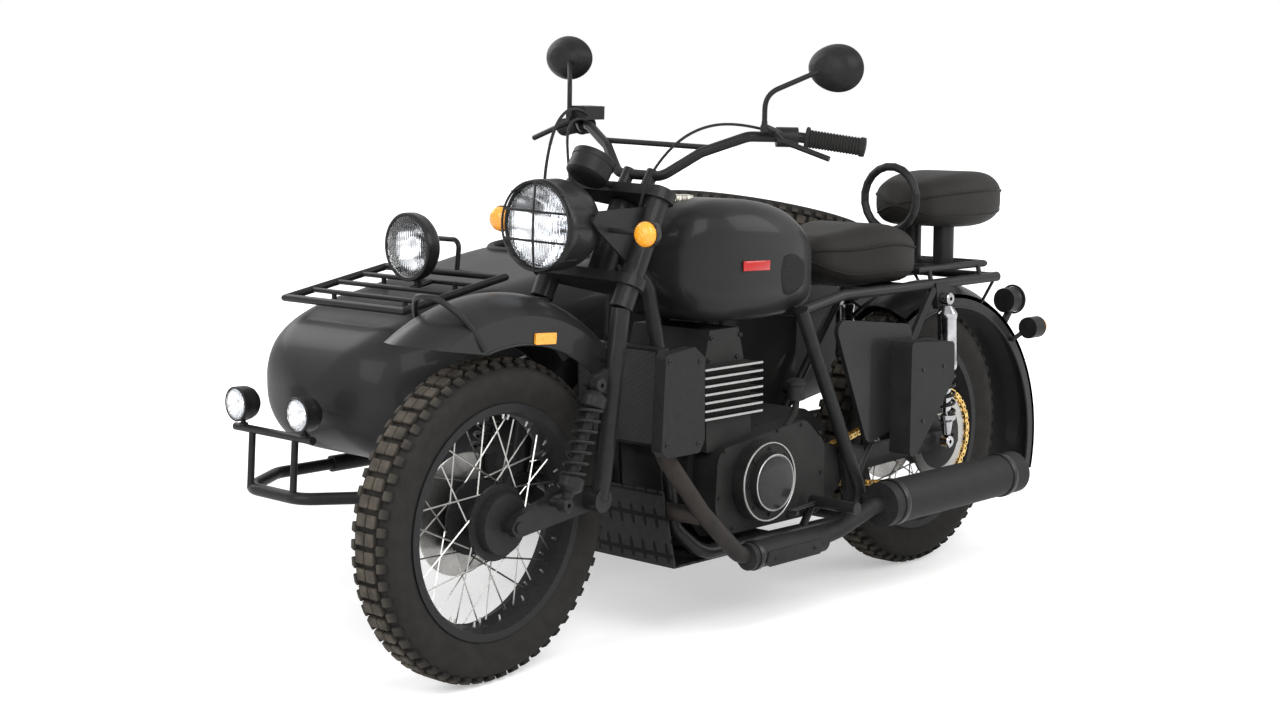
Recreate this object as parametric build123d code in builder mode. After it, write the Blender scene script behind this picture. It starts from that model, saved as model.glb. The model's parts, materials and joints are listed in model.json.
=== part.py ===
from build123d import *
import os
from math import cos, degrees, radians, sin, tan

# Sidecar motorcycle, in millimetres and degrees: X forward, Y to the rider's left, Z up from the ground.
# The pieces are laid out from the rear axle, and finish() writes them about the middle of the whole machine.

os.makedirs("parts", exist_ok=True)

# Driving dimensions
wheelbase = 1450
wheel_radius = 334
tyre_width = 109
rake = 27
axle_ahead = 95.2
rest_steer = 5
sidecar_track = 1150
sidecar_lead = 270
tub_centre = 645
tub_wall = 12
trunk_slope = 14
running_fit = 0.05
seat_gap = 0.3
moving_gap = 6
corner_cuts = 3

# The middle of the machine's box on the ground, measured from under the rear axle
middle_x = 645
middle_y = -403

# Tables of places count squares of this grid from the rear axle: x forward, y left, z up
wheelbase_share = 145.0
grid = wheelbase / wheelbase_share

parked = Location((-middle_x, -middle_y, 0))
track_share = sidecar_track / grid
lead_share = sidecar_lead / grid
tub_share = tub_centre / grid
# The steering axis passes behind the front axle, as a leading link fork has it
steering_axis = Axis((wheelbase - axle_ahead, 0, wheel_radius), (-sin(radians(rake)), 0, cos(radians(rake))))
# Planes square to the steering axis: x ahead of it, y left, z up along it from the axle's height
head_plane = Plane(
    origin=steering_axis.position,
    x_dir=(cos(radians(rake)), 0, sin(radians(rake))),
    z_dir=steering_axis.direction,
)


def spot(x, y, z):
    """A place on the grid."""
    return Vector(x * grid, y * grid, wheel_radius + z * grid)


def side(y):
    """Upright plane along the bike, seen from its left, with its zero at axle height."""
    return Plane(origin=(0, y, wheel_radius), x_dir=(1, 0, 0), z_dir=(0, -1, 0))


def bar(shares, radius, bend=0, mode=Mode.ADD):
    """Round bar along places on the grid, bent at its corners, or mitred where bend is 0."""
    points = [spot(*share) for share in shares]
    closed = shares[0] == shares[-1]
    with BuildLine() as path:
        if bend:
            FilletPolyline(*points[: len(points) - closed], radius=bend, close=closed)
        else:
            Polyline(*points)
    route = path.wire()
    if len(points) > 2 and not bend:
        with BuildSketch(Plane(origin=route @ 0, z_dir=route % 0)) as section:
            Circle(radius)
        sweep(sections=section.sketch, path=route, transition=Transition.RIGHT, mode=mode)
        return
    runs = []
    for run in route.edges():
        with BuildSketch(Plane(origin=run @ 0, z_dir=run % 0), mode=Mode.PRIVATE) as section:
            Circle(radius)
        if run.geom_type == GeomType.LINE:
            runs.append(extrude(section.sketch, amount=run.length, mode=Mode.PRIVATE))
        else:
            elbow = Axis(run.arc_center, (run % 0).cross(run % 1))
            turn = degrees(run.length / bend)
            runs.append(revolve(section.sketch, axis=elbow, revolution_arc=turn, mode=Mode.PRIVATE))
    add(runs, mode=mode)


def pair(shares, radius, bend=0):
    """The same bar on the left and on the right."""
    for hand in (1, -1):
        bar(mirrored(shares, hand), radius, bend)


def slab(outline_shares, left, right, corner=0):
    """Piece with an outline seen from the side, as wide as from left to right on the grid."""
    points = [(x * grid, z * grid) for x, z in outline_shares]
    with BuildSketch(side(left * grid)) as face:
        with BuildLine():
            if corner:
                FilletPolyline(*points, radius=corner, close=True)
            else:
                Polyline(*points, close=True)
        make_face()
    extrude(face.sketch, amount=(left - right) * grid)


def mirrored(shares, hand):
    """Places on the grid, on the left for hand 1 and on the right for hand -1."""
    return [(x, hand * y, z) for x, y, z in shares]


def slabs(outline_shares, outer, inner, corner=0):
    """The same slab on the left and on the right."""
    slab(outline_shares, outer, inner, corner)
    slab(outline_shares, -inner, -outer, corner)


def drums(x, z, outer, inner, radius):
    """The same drum on the left and on the right."""
    drum(x, z, outer, inner, radius)
    drum(x, z, -inner, -outer, radius)


def drum(x, z, left, right, radius):
    """Round piece across the bike, as wide as from left to right on the grid."""
    with BuildSketch(side(left * grid)) as face:
        with Locations((x * grid, z * grid)):
            Circle(radius)
    extrude(face.sketch, amount=(left - right) * grid)


def body(stations, centre=0):
    """Shell form through sections with cut corners: x, low z, high z, half width, corner, all on the grid."""
    sections = []
    for x, low, high, half, corner in stations:
        middle = Plane(
            origin=(x * grid, centre, wheel_radius + (low + high) / 2 * grid),
            x_dir=(0, 1, 0),
            z_dir=(1, 0, 0),
        )
        outline = []
        for quarter, (across, up) in enumerate(((1, 1), (-1, 1), (-1, -1), (1, -1))):
            for cut in range(corner_cuts + 1):
                turn = radians(90 * (quarter + cut / corner_cuts))
                outline.append(
                    (
                        (across * (half - corner) + corner * cos(turn)) * grid,
                        (up * ((high - low) / 2 - corner) + corner * sin(turn)) * grid,
                    )
                )
        with BuildSketch(middle) as section:
            with BuildLine():
                Polyline(*outline, close=True)
            make_face()
        sections.append(section.sketch)
    loft(sections=sections, ruled=True)


def finish(piece, name, steered=False):
    """Labels a finished piece and writes it where it stands on the parked machine."""
    if steered:
        piece = piece.rotate(steering_axis, rest_steer)
    piece = piece.moved(parked)
    piece.label = name
    export_step(piece, f"parts/{name}.step")


# Wheels: one tyre and one laced rim, used four times
bead_half = 38
bead_radius = 233
flange_radius = 243
sidewall_radius = 289
crown_half = 24
shoulder_half = 47
shoulder_radius = 316
rim_half = 42
rim_bed = 218
rim_edge = 226
hub_radius = 40
hub_half = 58
hub_flange = 79
hub_flange_half = 36
hub_flange_sheet = 6
cover_radius = 64
cover_taper = 6
axle_radius = 11
spoke_radius = 1.9
spoke_lap = 3
spoke_count = 9
spoke_sweep = 47
spoke_offset = 4
spoke_start = 10
disc_radius = 128
disc_sheet = 4
disc_place = 62
disc_carrier_radius = 50
sprocket_radius = 109
sprocket_sheet = 8
sprocket_place = 94
sprocket_carrier_radius = 58


def tyre(name, plane, steered=False):
    """Tyre with its tread's outer form; the plane's z is the axle."""
    half = tyre_width / 2
    section_plane = Plane(origin=plane.origin, x_dir=plane.z_dir, z_dir=-plane.y_dir)
    with BuildPart() as piece:
        with BuildSketch(section_plane):
            with BuildLine():
                Line((-shoulder_half, shoulder_radius), (-crown_half, wheel_radius))
                Line((-crown_half, wheel_radius), (crown_half, wheel_radius))
                Line((crown_half, wheel_radius), (shoulder_half, shoulder_radius))
                Line((shoulder_half, shoulder_radius), (half, sidewall_radius))
                Line((half, sidewall_radius), (bead_half - seat_gap, flange_radius))
                Line((bead_half - seat_gap, flange_radius), (bead_half - seat_gap, bead_radius))
                Line((bead_half - seat_gap, bead_radius), (seat_gap - bead_half, bead_radius))
                Line((seat_gap - bead_half, bead_radius), (seat_gap - bead_half, flange_radius))
                Line((seat_gap - bead_half, flange_radius), (-half, sidewall_radius))
                Line((-half, sidewall_radius), (-shoulder_half, shoulder_radius))
            make_face()
        revolve(axis=Axis(plane.origin, plane.z_dir))
    finish(piece.part, name, steered)


def laced_rim(name, plane, steered=False, disc=False, sprocket=False):
    """Rim, spokes and hub; the plane's z is the axle, towards the bike's left."""
    section_plane = Plane(origin=plane.origin, x_dir=plane.z_dir, z_dir=-plane.y_dir)
    well_half = rim_half / 2
    bed = bead_radius - seat_gap
    with BuildPart() as piece:
        # The rim's ring, with a ledge for each bead
        with BuildSketch(section_plane):
            with BuildLine():
                Polyline(
                    (-rim_half, flange_radius),
                    (-bead_half, flange_radius),
                    (-bead_half, bed),
                    (bead_half, bed),
                    (bead_half, flange_radius),
                    (rim_half, flange_radius),
                    (rim_half, rim_edge),
                    (well_half, rim_bed),
                    (-well_half, rim_bed),
                    (-rim_half, rim_edge),
                    close=True,
                )
            make_face()
        revolve(axis=Axis(plane.origin, plane.z_dir))
        # Hub with its two flanges and its bearing bore
        with BuildSketch(plane.offset(-hub_half)) as barrel:
            Circle(hub_radius)
        extrude(barrel.sketch, amount=2 * hub_half)
        for level in (-hub_flange_half, hub_flange_half - hub_flange_sheet):
            with BuildSketch(plane.offset(level)) as flange:
                Circle(hub_flange)
            extrude(flange.sketch, amount=hub_flange_sheet)
        with BuildSketch(plane.offset(hub_flange_half)) as cover:
            Circle(cover_radius)
        extrude(cover.sketch, amount=hub_half - hub_flange_half, taper=cover_taper)
        if disc:
            with BuildSketch(plane.offset(-disc_place - disc_sheet)) as carrier:
                Circle(disc_carrier_radius)
            extrude(carrier.sketch, amount=disc_place + disc_sheet - hub_flange_half)
            with BuildSketch(plane.offset(-disc_place - disc_sheet)) as rotor:
                Circle(disc_radius)
            extrude(rotor.sketch, amount=disc_sheet)
        if sprocket:
            with BuildSketch(plane.offset(hub_flange_half)) as carrier:
                Circle(sprocket_carrier_radius)
            extrude(carrier.sketch, amount=sprocket_place + sprocket_sheet / 2 - hub_flange_half)
            with BuildSketch(plane.offset(sprocket_place - sprocket_sheet / 2)) as ring:
                Circle(sprocket_radius)
            extrude(ring.sketch, amount=sprocket_sheet)
        # Spokes cross in four sets: from each flange, leaning each way
        spokes = []
        for hand in (1, -1):
            for lean in (1, -1):
                start = plane.from_local_coords(
                    Vector(hub_flange - spoke_lap, 0, hand * (hub_flange_half - hub_flange_sheet / 2))
                    + Vector(0, 0, hand * lean * spoke_offset / 2)
                )
                end = plane.from_local_coords(
                    Vector(
                        (rim_bed - spoke_lap) * cos(radians(lean * spoke_sweep)),
                        (rim_bed - spoke_lap) * sin(radians(lean * spoke_sweep)),
                        hand * spoke_offset,
                    )
                )
                with BuildPart(mode=Mode.PRIVATE) as spoke:
                    run = Edge.make_line(start, end)
                    with BuildSketch(Plane(origin=start, z_dir=end - start)) as section:
                        RegularPolygon(spoke_radius, 4)
                    extrude(section.sketch, amount=run.length)
                for count in range(spoke_count):
                    turn = spoke_start * hand + 360 / spoke_count * (count + lean / 4)
                    spokes.append(spoke.part.rotate(Axis(plane.origin, plane.z_dir), turn))
        add(spokes)
        with BuildSketch(plane.offset(-wheel_radius)) as bore:
            Circle(axle_radius + running_fit)
        extrude(bore.sketch, amount=2 * wheel_radius, mode=Mode.SUBTRACT)
    finish(piece.part, name, steered)


def upright(x, y):
    """Plane in which a standing wheel turns: its z is the axle, to the left."""
    return Plane(origin=(x, y, wheel_radius), x_dir=(1, 0, 0), z_dir=(0, 1, 0))


front_wheel = upright(wheelbase, 0)
rear_wheel = upright(0, 0)
side_wheel = Plane(
    origin=(sidecar_lead, -sidecar_track, wheel_radius), x_dir=(1, 0, 0), z_dir=(0, -1, 0)
)

tyre("front_tyre", front_wheel, steered=True)
laced_rim("front_rim", front_wheel, steered=True, disc=True)
tyre("rear_tyre", rear_wheel)
laced_rim("rear_rim", rear_wheel, disc=True, sprocket=True)
tyre("sidecar_tyre", side_wheel)
laced_rim("sidecar_rim", side_wheel, disc=True)

# Frame of the motorcycle
frame_tube = 16
rail_tube = 12.5
backbone_tube = 20
tie_tube = 11
frame_bend = 60
head_radius = 30
stem_radius = 18
head_low = 530
head_length = 165
cradle_shares = [
    (107.5, 2.0, 52.0),
    (101.8, 5.0, 45.0),
    (100.5, 7.5, 28.6),
    (97.5, 8.5, -8.0),
    (93.0, 13.0, -13.9),
    (36.5, 15.2, -13.9),
    (62.5, 15.4, 37.2),
]
rail_shares = [(61.5, 14.0, 36.5), (45.0, 13.5, 39.1), (-20.0, 12.5, 39.1)]
backbone_shares = [(107.5, 0, 53.0), (60.0, 0, 38.0)]
cross_shares = [
    ((61.0, 15.0, 36.4), (61.0, -15.0, 36.4)),
    ((20.0, 13.3, 39.1), (20.0, -13.3, 39.1)),
    ((-19.0, 12.5, 39.1), (-19.0, -12.5, 39.1)),
    ((90.0, 13.2, -13.9), (90.0, -13.2, -13.9)),
    ((42.0, 14.4, -13.9), (42.0, -14.4, -13.9)),
]
stay_shares = [(40.0, 14.5, -3.0), (9.0, 13.4, 38.0)]
lug_outer_share, lug_inner_share = 14.6, 13.0
pivot_outer_share, pivot_inner_share = 15.0, 13.4
lug_shares = [(3.6, 39.5), (9.4, 39.5), (8.4, 33.0), (4.4, 33.0)]
pivot_shares = [(37.0, -12.0), (43.0, -12.0), (46.0, 2.0), (42.5, 4.0), (38.0, 3.0)]

with BuildPart() as main_frame:
    with BuildSketch(head_plane.offset(head_low)) as head:
        Circle(head_radius)
    extrude(head.sketch, amount=head_length)
    pair(cradle_shares, frame_tube, frame_bend)
    pair(rail_shares, rail_tube, frame_bend)
    bar(backbone_shares, backbone_tube)
    for ends in cross_shares:
        bar(ends, tie_tube)
    pair(stay_shares, tie_tube)
    slabs(lug_shares, lug_outer_share, lug_inner_share)
    slabs(pivot_shares, pivot_outer_share, pivot_inner_share)
    with BuildSketch(head_plane.offset(head_low - head_radius)) as bore:
        Circle(stem_radius + running_fit)
    extrude(bore.sketch, amount=head_length + 2 * head_radius, mode=Mode.SUBTRACT)
finish(main_frame.part, "main_frame")

# Engine: an upright two-cylinder block with its covers
fin_count = 7
fin_sheet = 4
case_corner = 40
cover_disc = 90
cover_boss = 65
front_sprocket = 30.7
case_shares = [(44, -11.9), (88, -11.9), (93, -6), (92, 8.6), (52, 13), (44, 8)]
side_case_shares = [(53, -10.5), (86, -10.5), (91, -5), (90, 8.6), (60, 12.0), (53, 6)]
barrel_shares = [(76, 8), (91, 8), (91.5, 27), (77, 27)]
head_shares = [(77.5, 26.5), (91, 26.5), (89, 34.5), (79.5, 34.5)]
fin_shares = [(74.5, 0), (93.5, 0), (93.5, 1), (74.5, 1)]
fin_low_share = 15.5
fin_pitch_share = 1.8
fin_half_share = 14.3
case_half_share = 8.0
side_half_share = 15.0
barrel_half_share = 12.5
cylinder_head_share = 11.5
cover_place_share = (76.6, 0.4)
cover_outer_share, boss_outer_share = 18.3, 20.0
sprocket_place_share = (47.0, -1.6)
sprocket_sides_share = (9.8, 8.0)
sprocket_cover_share = (50.0, -1.6)
sprocket_cover_sides_share = (13.0, 10.9)
sprocket_box_shares = [(50, -7), (55, -7), (55, 5), (50, 5)]

with BuildPart() as engine:
    slab(case_shares, case_half_share, -case_half_share, case_corner)
    slab(side_case_shares, side_half_share, -side_half_share, case_corner)
    slab(barrel_shares, barrel_half_share, -barrel_half_share)
    slab(head_shares, cylinder_head_share, -cylinder_head_share)
    for count in range(fin_count):
        low = fin_low_share + count * fin_pitch_share
        slab([(x, low + z * fin_sheet / grid) for x, z in fin_shares], fin_half_share, -fin_half_share)
    drums(*cover_place_share, cover_outer_share, side_half_share, cover_disc)
    drum(*cover_place_share, boss_outer_share, cover_outer_share, cover_boss)
    drum(*sprocket_cover_share, *sprocket_cover_sides_share, cover_boss)
    drum(*sprocket_place_share, *sprocket_sides_share, front_sprocket)
    slab(sprocket_box_shares, *sprocket_cover_sides_share)
    add(main_frame.part, mode=Mode.SUBTRACT)
finish(engine.part, "engine")

# Radiator with its two side shields
shield_shares = [(100, 30.5), (103, 33), (112, 32), (113.3, 12), (111.5, 10.4), (101.5, 10.4), (100, 13)]
core_shares = [(102.6, 11), (106, 11), (106, 32), (102.6, 32)]
core_half_share = 12.0
shield_outer_share, shield_inner_share = 20.0, 17.0
tie_shares = ([(103.3, 17.5, 14), (103.3, -17.5, 14)], [(103.3, 17.5, 30), (103.3, -17.5, 30)])
core_stay_shares = [(104.3, 8.0, 20), (99.7, 7.8, 20)]
shield_corner = 12
core_stay = 6

with BuildPart() as radiator:
    slab(core_shares, core_half_share, -core_half_share)
    for ends in tie_shares:
        bar(ends, core_stay)
    slabs(shield_shares, shield_outer_share, shield_inner_share, shield_corner)
    pair(core_stay_shares, core_stay)
    add(main_frame.part, mode=Mode.SUBTRACT)
finish(radiator.part, "radiator")

# Fuel tank, a smooth shell over the backbone, with its filler cap
cap_radius = 38
cap_height = 14
cap_place_share = (87.2, 0, 61.5)
tank_shares = [
    (99.5, 45.0, 54.5, 8.5, 4.0),
    (93.0, 37.5, 61.3, 13.8, 6.0),
    (80.0, 35.8, 62.6, 16.5, 7.5),
    (65.0, 35.6, 60.3, 15.6, 7.5),
    (55.0, 36.4, 55.2, 12.0, 5.5),
    (50.8, 38.0, 51.0, 8.5, 4.0),
]

with BuildPart() as fuel_tank:
    body(tank_shares)
    with BuildSketch(Plane(origin=spot(*cap_place_share))) as cap:
        Circle(cap_radius)
    extrude(cap.sketch, amount=2 * cap_height)
    add(main_frame.part, mode=Mode.SUBTRACT)
finish(fuel_tank.part, "fuel_tank")

# Seats on the frame's rails, and the ring between them
ring_share = 7.9
ring_parts = 20
ring_tube = 10
rack_tube = 9
slat_tube = 6
spring_radius = 26
rider_shares = [
    (47.0, 44.5, 51.5, 7.0, 3.0),
    (38.0, 40.4, 53.2, 11.0, 4.5),
    (26.0, 40.4, 54.6, 15.0, 5.5),
    (16.5, 40.6, 53.0, 14.0, 4.5),
    (13.6, 44.0, 50.0, 10.0, 2.6),
]
pillion_shares = [
    (7.0, 56.0, 60.5, 5.0, 2.0),
    (2.0, 54.2, 63.5, 9.5, 4.0),
    (-9.0, 53.5, 65.5, 13.0, 5.0),
    (-21.0, 54.0, 65.0, 12.0, 5.0),
    (-29.0, 57.0, 61.0, 6.5, 1.8),
]
rack_shares = [(12.5, 11.5, 42.7), (12.5, -11.5, 42.7), (-15.0, -11.5, 42.7), (-15.0, 11.5, 42.7)]
slat_shares = [[(x, 11.5, 42.7), (x, -11.5, 42.7)] for x in (9.0, 1.0, -7.0, -12.0)]
rack_leg_shares = [[(x, 12.0, 42.7), (x, 12.7, 40.0)] for x in (9.0, -12.0)]
seat_spring_shares = [(-7.0, 5.0, 42.7), (-7.0, 5.0, 54.2)]
ring_middle_share = (9.0, 0, 59.6)
ring_post_shares = [(9.0, 0, 51.4), (9.0, 0, 42.7)]

with BuildPart() as rear_rack:
    bar(rack_shares + rack_shares[:1], rack_tube)
    for ends in slat_shares:
        bar(ends, slat_tube)
    for ends in rack_leg_shares:
        pair(ends, slat_tube)
    pair(seat_spring_shares, spring_radius)
    add(main_frame.part, mode=Mode.SUBTRACT)
finish(rear_rack.part, "rear_rack")

with BuildPart() as rider_seat:
    body(rider_shares)
    add(main_frame.part, mode=Mode.SUBTRACT)
    add(fuel_tank.part, mode=Mode.SUBTRACT)
finish(rider_seat.part, "rider_seat")

with BuildPart() as pillion_seat:
    body(pillion_shares)
    add(rear_rack.part, mode=Mode.SUBTRACT)
finish(pillion_seat.part, "pillion_seat")

with BuildPart() as grab_ring:
    ring_x, _, ring_z = ring_middle_share
    ring_turns = [radians(360 / ring_parts * (count + 1 / 2)) for count in range(ring_parts)]
    ring_shares = [(ring_x, ring_share * cos(turn), ring_z + ring_share * sin(turn)) for turn in ring_turns]
    bar(ring_shares + ring_shares[:1], ring_tube)
    bar(ring_post_shares, ring_tube)
    add(rear_rack.part, mode=Mode.SUBTRACT)
finish(grab_ring.part, "grab_ring")

# Fenders: crowned sheet turned about a centre, lifted off their tyres
fender_sheet = 3
rear_fender_lift = 99
front_fender_lift = 128
side_fender_lift = 66
rear_fender_share = (-6.0, 0, -4.9)
rear_fender_start, rear_fender_turn = 62, 132
front_fender_start, front_fender_turn = 54, 84
side_fender_start, side_fender_turn = 15, 150
rear_pin_turns = (110, 68)
rear_pin_shares = ((-19.0, 12.6, 38.8), (11.0, 13.5, 35.4))
side_pin_turns = (66, 111)
side_pin_share = -30.5
side_pin_level_share = 29.5
rear_fender_crown = wheel_radius + rear_fender_lift
rear_fender_half = 85
rear_fender_depth = 65
front_fender_crown = wheel_radius + front_fender_lift
front_fender_half = 78
front_fender_depth = 96
side_fender_crown = wheel_radius + side_fender_lift
side_fender_half = 85
side_fender_depth = 60
hoop_tube = 6
hoop_bend = 22
fender_pin = 8


def fender(centre, crown, half, depth, start, turn):
    """Crowned sheet with side skirts, turned upwards and back about its centre."""
    radial = Vector(cos(radians(start)), 0, sin(radians(start)))
    plane = Plane(origin=centre, x_dir=(0, 1, 0), z_dir=Vector(0, 1, 0).cross(radial))
    with BuildSketch(plane) as section:
        for inset, mode in ((0, Mode.ADD), (fender_sheet, Mode.SUBTRACT)):
            edge = half - inset
            shoulder = crown - half / 2 - inset
            foot = crown - depth - inset
            crest = edge - half / 2
            with BuildLine():
                Polyline(
                    (-edge, foot),
                    (-edge, shoulder),
                    (-crest, crown - inset),
                    (crest, crown - inset),
                    (edge, shoulder),
                    (edge, foot),
                    close=True,
                )
            make_face(mode=mode)
    revolve(section.sketch, axis=Axis(centre, (0, -1, 0)), revolution_arc=turn)


def skirt_share(centre_share, crown, half, depth, turn):
    """The place on the grid of a fender's left skirt, turned upwards and back about its centre."""
    reach = (crown - (depth + half / 2) / 2) / grid
    x, y, z = centre_share
    skin = (half - fender_sheet / 2) / grid
    return (x + reach * cos(radians(turn)), y + skin, z + reach * sin(radians(turn)))


def rear_skirt_share(turn):
    """The place on the grid of the rear fender's left skirt."""
    return skirt_share(rear_fender_share, rear_fender_crown, rear_fender_half, rear_fender_depth, turn)


with BuildPart() as rear_fender:
    fender(
        spot(*rear_fender_share),
        rear_fender_crown,
        rear_fender_half,
        rear_fender_depth,
        rear_fender_start,
        rear_fender_turn,
    )
    for turn, end_share in zip(rear_pin_turns, rear_pin_shares):
        pair([rear_skirt_share(turn), end_share], fender_pin)
    add(main_frame.part, mode=Mode.SUBTRACT)
finish(rear_fender.part, "rear_fender")

# Side panels and the tool box on the left one
panel_corner = 25
panel_shares = [(54.0, 34.5), (24.0, 31.0), (25.0, 8.0), (41.0, 4.0)]
panel_outer_share, panel_inner_share = 18.2, 17.03
panel_pin_shares = [(28.7, 17.2, 12.0), (28.7, 14.1, 12.0)]
box_outer_share = 24.2
box_corner = 12.5
box_shares = [(32.2, 27.8), (15.0, 26.6), (14.8, 17.6), (30.0, 0.4), (32.4, 1.0)]

with BuildPart() as side_panels:
    slabs(panel_shares, panel_outer_share, panel_inner_share, panel_corner)
    pair(panel_pin_shares, fender_pin)
    add(main_frame.part, mode=Mode.SUBTRACT)
finish(side_panels.part, "side_panels")

with BuildPart() as tool_box:
    slab(box_shares, box_outer_share, panel_outer_share, box_corner)
finish(tool_box.part, "tool_box")

# Swing arm with the rear axle and its brake caliper
pivot_radius = 22
spacer_radius = 16
arm_corner = 12
arm_shares = [(-3.4, 2.0), (-3.4, -2.0), (37.0, -3.2), (42.4, -1.9), (42.4, 1.3), (37.0, 2.4)]
caliper_shares = [(4.5, 6.0), (11.5, 6.0), (11.5, 12.5), (4.5, 13.5)]
caliper_stay_shares = [(7.0, 1.0), (10.0, 1.0), (10.0, 7.5), (7.0, 7.5)]
caliper_sides_share = (-4.8, -9.0)
caliper_stay_sides_share = (-8.0, -11.3)
arm_outer_share, arm_inner_share = 13.2, 11.2
pivot_place_share = (40.0, -0.4)
pivot_half_share = 13.4
rear_axle_half_share = 14.6
left_spacer_share = (11.4, 9.83)
right_spacer_share = (-6.63, -11.4)

def disc_slot(x):
    """Cuts a caliper open for the brake disc of the wheel whose axle is at x."""
    with BuildSketch(side(moving_gap - disc_place)) as slot:
        with Locations((x, 0)):
            Circle(disc_radius + moving_gap)
    extrude(slot.sketch, amount=2 * moving_gap + disc_sheet, mode=Mode.SUBTRACT)


with BuildPart() as swing_arm:
    slab(caliper_shares, *caliper_sides_share)
    disc_slot(0)
    slab(caliper_stay_shares, *caliper_stay_sides_share)
    slabs(arm_shares, arm_outer_share, arm_inner_share, arm_corner)
    drum(*pivot_place_share, pivot_half_share, -pivot_half_share, pivot_radius)
    drum(0, 0, rear_axle_half_share, -rear_axle_half_share, axle_radius)
    drum(0, 0, *left_spacer_share, spacer_radius)
    drum(0, 0, *right_spacer_share, spacer_radius)
    add(main_frame.part, mode=Mode.SUBTRACT)
finish(swing_arm.part, "swing_arm")

# Drive chain, a closed loop over both sprockets
chain_half_height = 7
chain_rear_pitch = 118
chain_front_pitch = 38
chain_width = 20
chain_place = 104

with BuildPart() as drive_chain:
    with BuildSketch(side(chain_place)) as loop:
        for inset, mode in ((chain_half_height, Mode.ADD), (-chain_half_height, Mode.SUBTRACT)):
            with BuildSketch(mode=Mode.PRIVATE) as ends:
                Circle(chain_rear_pitch + inset)
                with Locations(tuple(along * grid for along in sprocket_place_share)):
                    Circle(chain_front_pitch + inset)
            make_hull(ends.sketch.edges(), mode=mode)
    extrude(loop.sketch, amount=chain_width)
finish(drive_chain.part, "drive_chain")


def shock(low, high, y, coil, turns, coil_start, coil_end):
    """Coil-over strut between two eyes: its coil is a row of bands round a core."""
    foot = spot(low[0], y, low[1])
    head = spot(high[0], y, high[1])
    length = (head - foot).length
    plane = Plane(origin=foot, z_dir=head - foot)
    for x, z in (low, high):
        drum(x, z, y + shock_width_share / 2, y - shock_width_share / 2, shock_eye)
    with BuildSketch(plane) as shaft:
        Circle(shock_rod)
    extrude(shaft.sketch, amount=length)
    pitch = (coil_end - coil_start) * length / turns
    with BuildSketch(plane.offset(coil_start * length)) as core:
        Circle(coil * coil_waist_share)
    extrude(core.sketch, amount=(coil_end - coil_start) * length)
    for count in range(turns):
        with BuildSketch(plane.offset(coil_start * length + (count + 1 / 4) * pitch)) as wind:
            Circle(coil)
        extrude(wind.sketch, amount=pitch / 2)


coil_waist_share = 0.72
shock_width_share = 2.4
rear_shock_share = 15.8
front_shock_share = 13.0
rear_coils, front_coils, side_coils = 6, 7, 6
rear_coil_shares = (0.2, 0.9)
front_coil_shares = (0.16, 0.86)
side_coil_shares = (0.2, 0.85)
rear_shock_low_share = (5.4, 0)
rear_shock_high_share = (6.4, 35.6)
front_shock_low_share = (135.5, 3.7)
front_shock_high_share = (126.2, 27.2)
shock_eye = 15
shock_rod = 9
rear_coil = 25
front_coil = 28

with BuildPart() as rear_shocks:
    for hand in (1, -1):
        shock(
            rear_shock_low_share,
            rear_shock_high_share,
            hand * rear_shock_share,
            rear_coil,
            rear_coils,
            *rear_coil_shares,
        )
    add(main_frame.part, mode=Mode.SUBTRACT)
    add(swing_arm.part, mode=Mode.SUBTRACT)
finish(rear_shocks.part, "rear_shocks")

# Exhaust: two header pipes joined ahead of the engine, a catalyst and a silencer on the left
header_tube = 19
header_bend = 35
catalyst_radius = 30
silencer_radius = 52
outlet_radius = 20
outlet_wall = 3
left_header_shares = [
    (91.6, 7.0, 21.5),
    (95.5, 9.0, 22.0),
    (100.0, 14.6, 21.5),
    (106.6, 14.6, 17.0),
    (107.0, 14.6, 10.0),
    (98.1, 17.4, -3.3),
    (90.0, 21.0, -13.4),
    (85.0, 21.5, -14.2),
]
right_header_shares = [
    (91.6, -7.0, 21.5),
    (95.5, -9.0, 22.0),
    (100.0, -14.6, 21.5),
    (106.6, -14.6, 17.0),
    (105.5, -14.0, 6.0),
    (101.2, -8.0, -3.6),
    (101.2, 8.0, -3.6),
    (97.5, 17.0, -4.5),
]
catalyst_shares = [(88.0, 21.5, -14.2), (62.9, 21.8, -14.2)]
silencer_shares = [(42.0, 23.0, -9.4), (-13.3, 23.0, -9.3)]
outlet_shares = [(-13.0, 23.0, -9.3), (-16.5, 23.0, -9.3)]
outlet_bore_shares = [(-10.0, 23.0, -9.3), (-17.0, 23.0, -9.3)]
silencer_stay_shares = [(40.5, 19.5, -9.0), (40.5, 14.4, -8.0)]
rear_pipe_shares = [(64.0, 21.8, -14.2), (56.0, 22.2, -13.0), (45.0, 23.0, -9.4), (36.0, 23.0, -9.4)]

with BuildPart() as exhaust:
    bar(left_header_shares, header_tube, header_bend)
    bar(right_header_shares, header_tube, header_bend)
    bar(catalyst_shares, catalyst_radius)
    bar(rear_pipe_shares, header_tube, header_bend)
    bar(silencer_shares, silencer_radius)
    bar(outlet_shares, outlet_radius)
    bar(outlet_bore_shares, outlet_radius - outlet_wall, mode=Mode.SUBTRACT)
    bar(silencer_stay_shares, slat_tube)
    add(main_frame.part, mode=Mode.SUBTRACT)
    add(engine.part, mode=Mode.SUBTRACT)
finish(exhaust.part, "exhaust")

# Foot pegs with their brackets and pedals
peg_radius = 14
pedal_tube = 5
peg_shares = [(59.9, 30.0, -6.6), (59.9, 17.0, -6.6)]
peg_stay_shares = [(59.9, 17.6, -6.6), (59.9, 14.2, -13.2)]
pedal_shares = [(59.9, 18.6, -6.6), (73.0, 20.8, -6.6), (73.0, 23.5, -6.6)]

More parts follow.
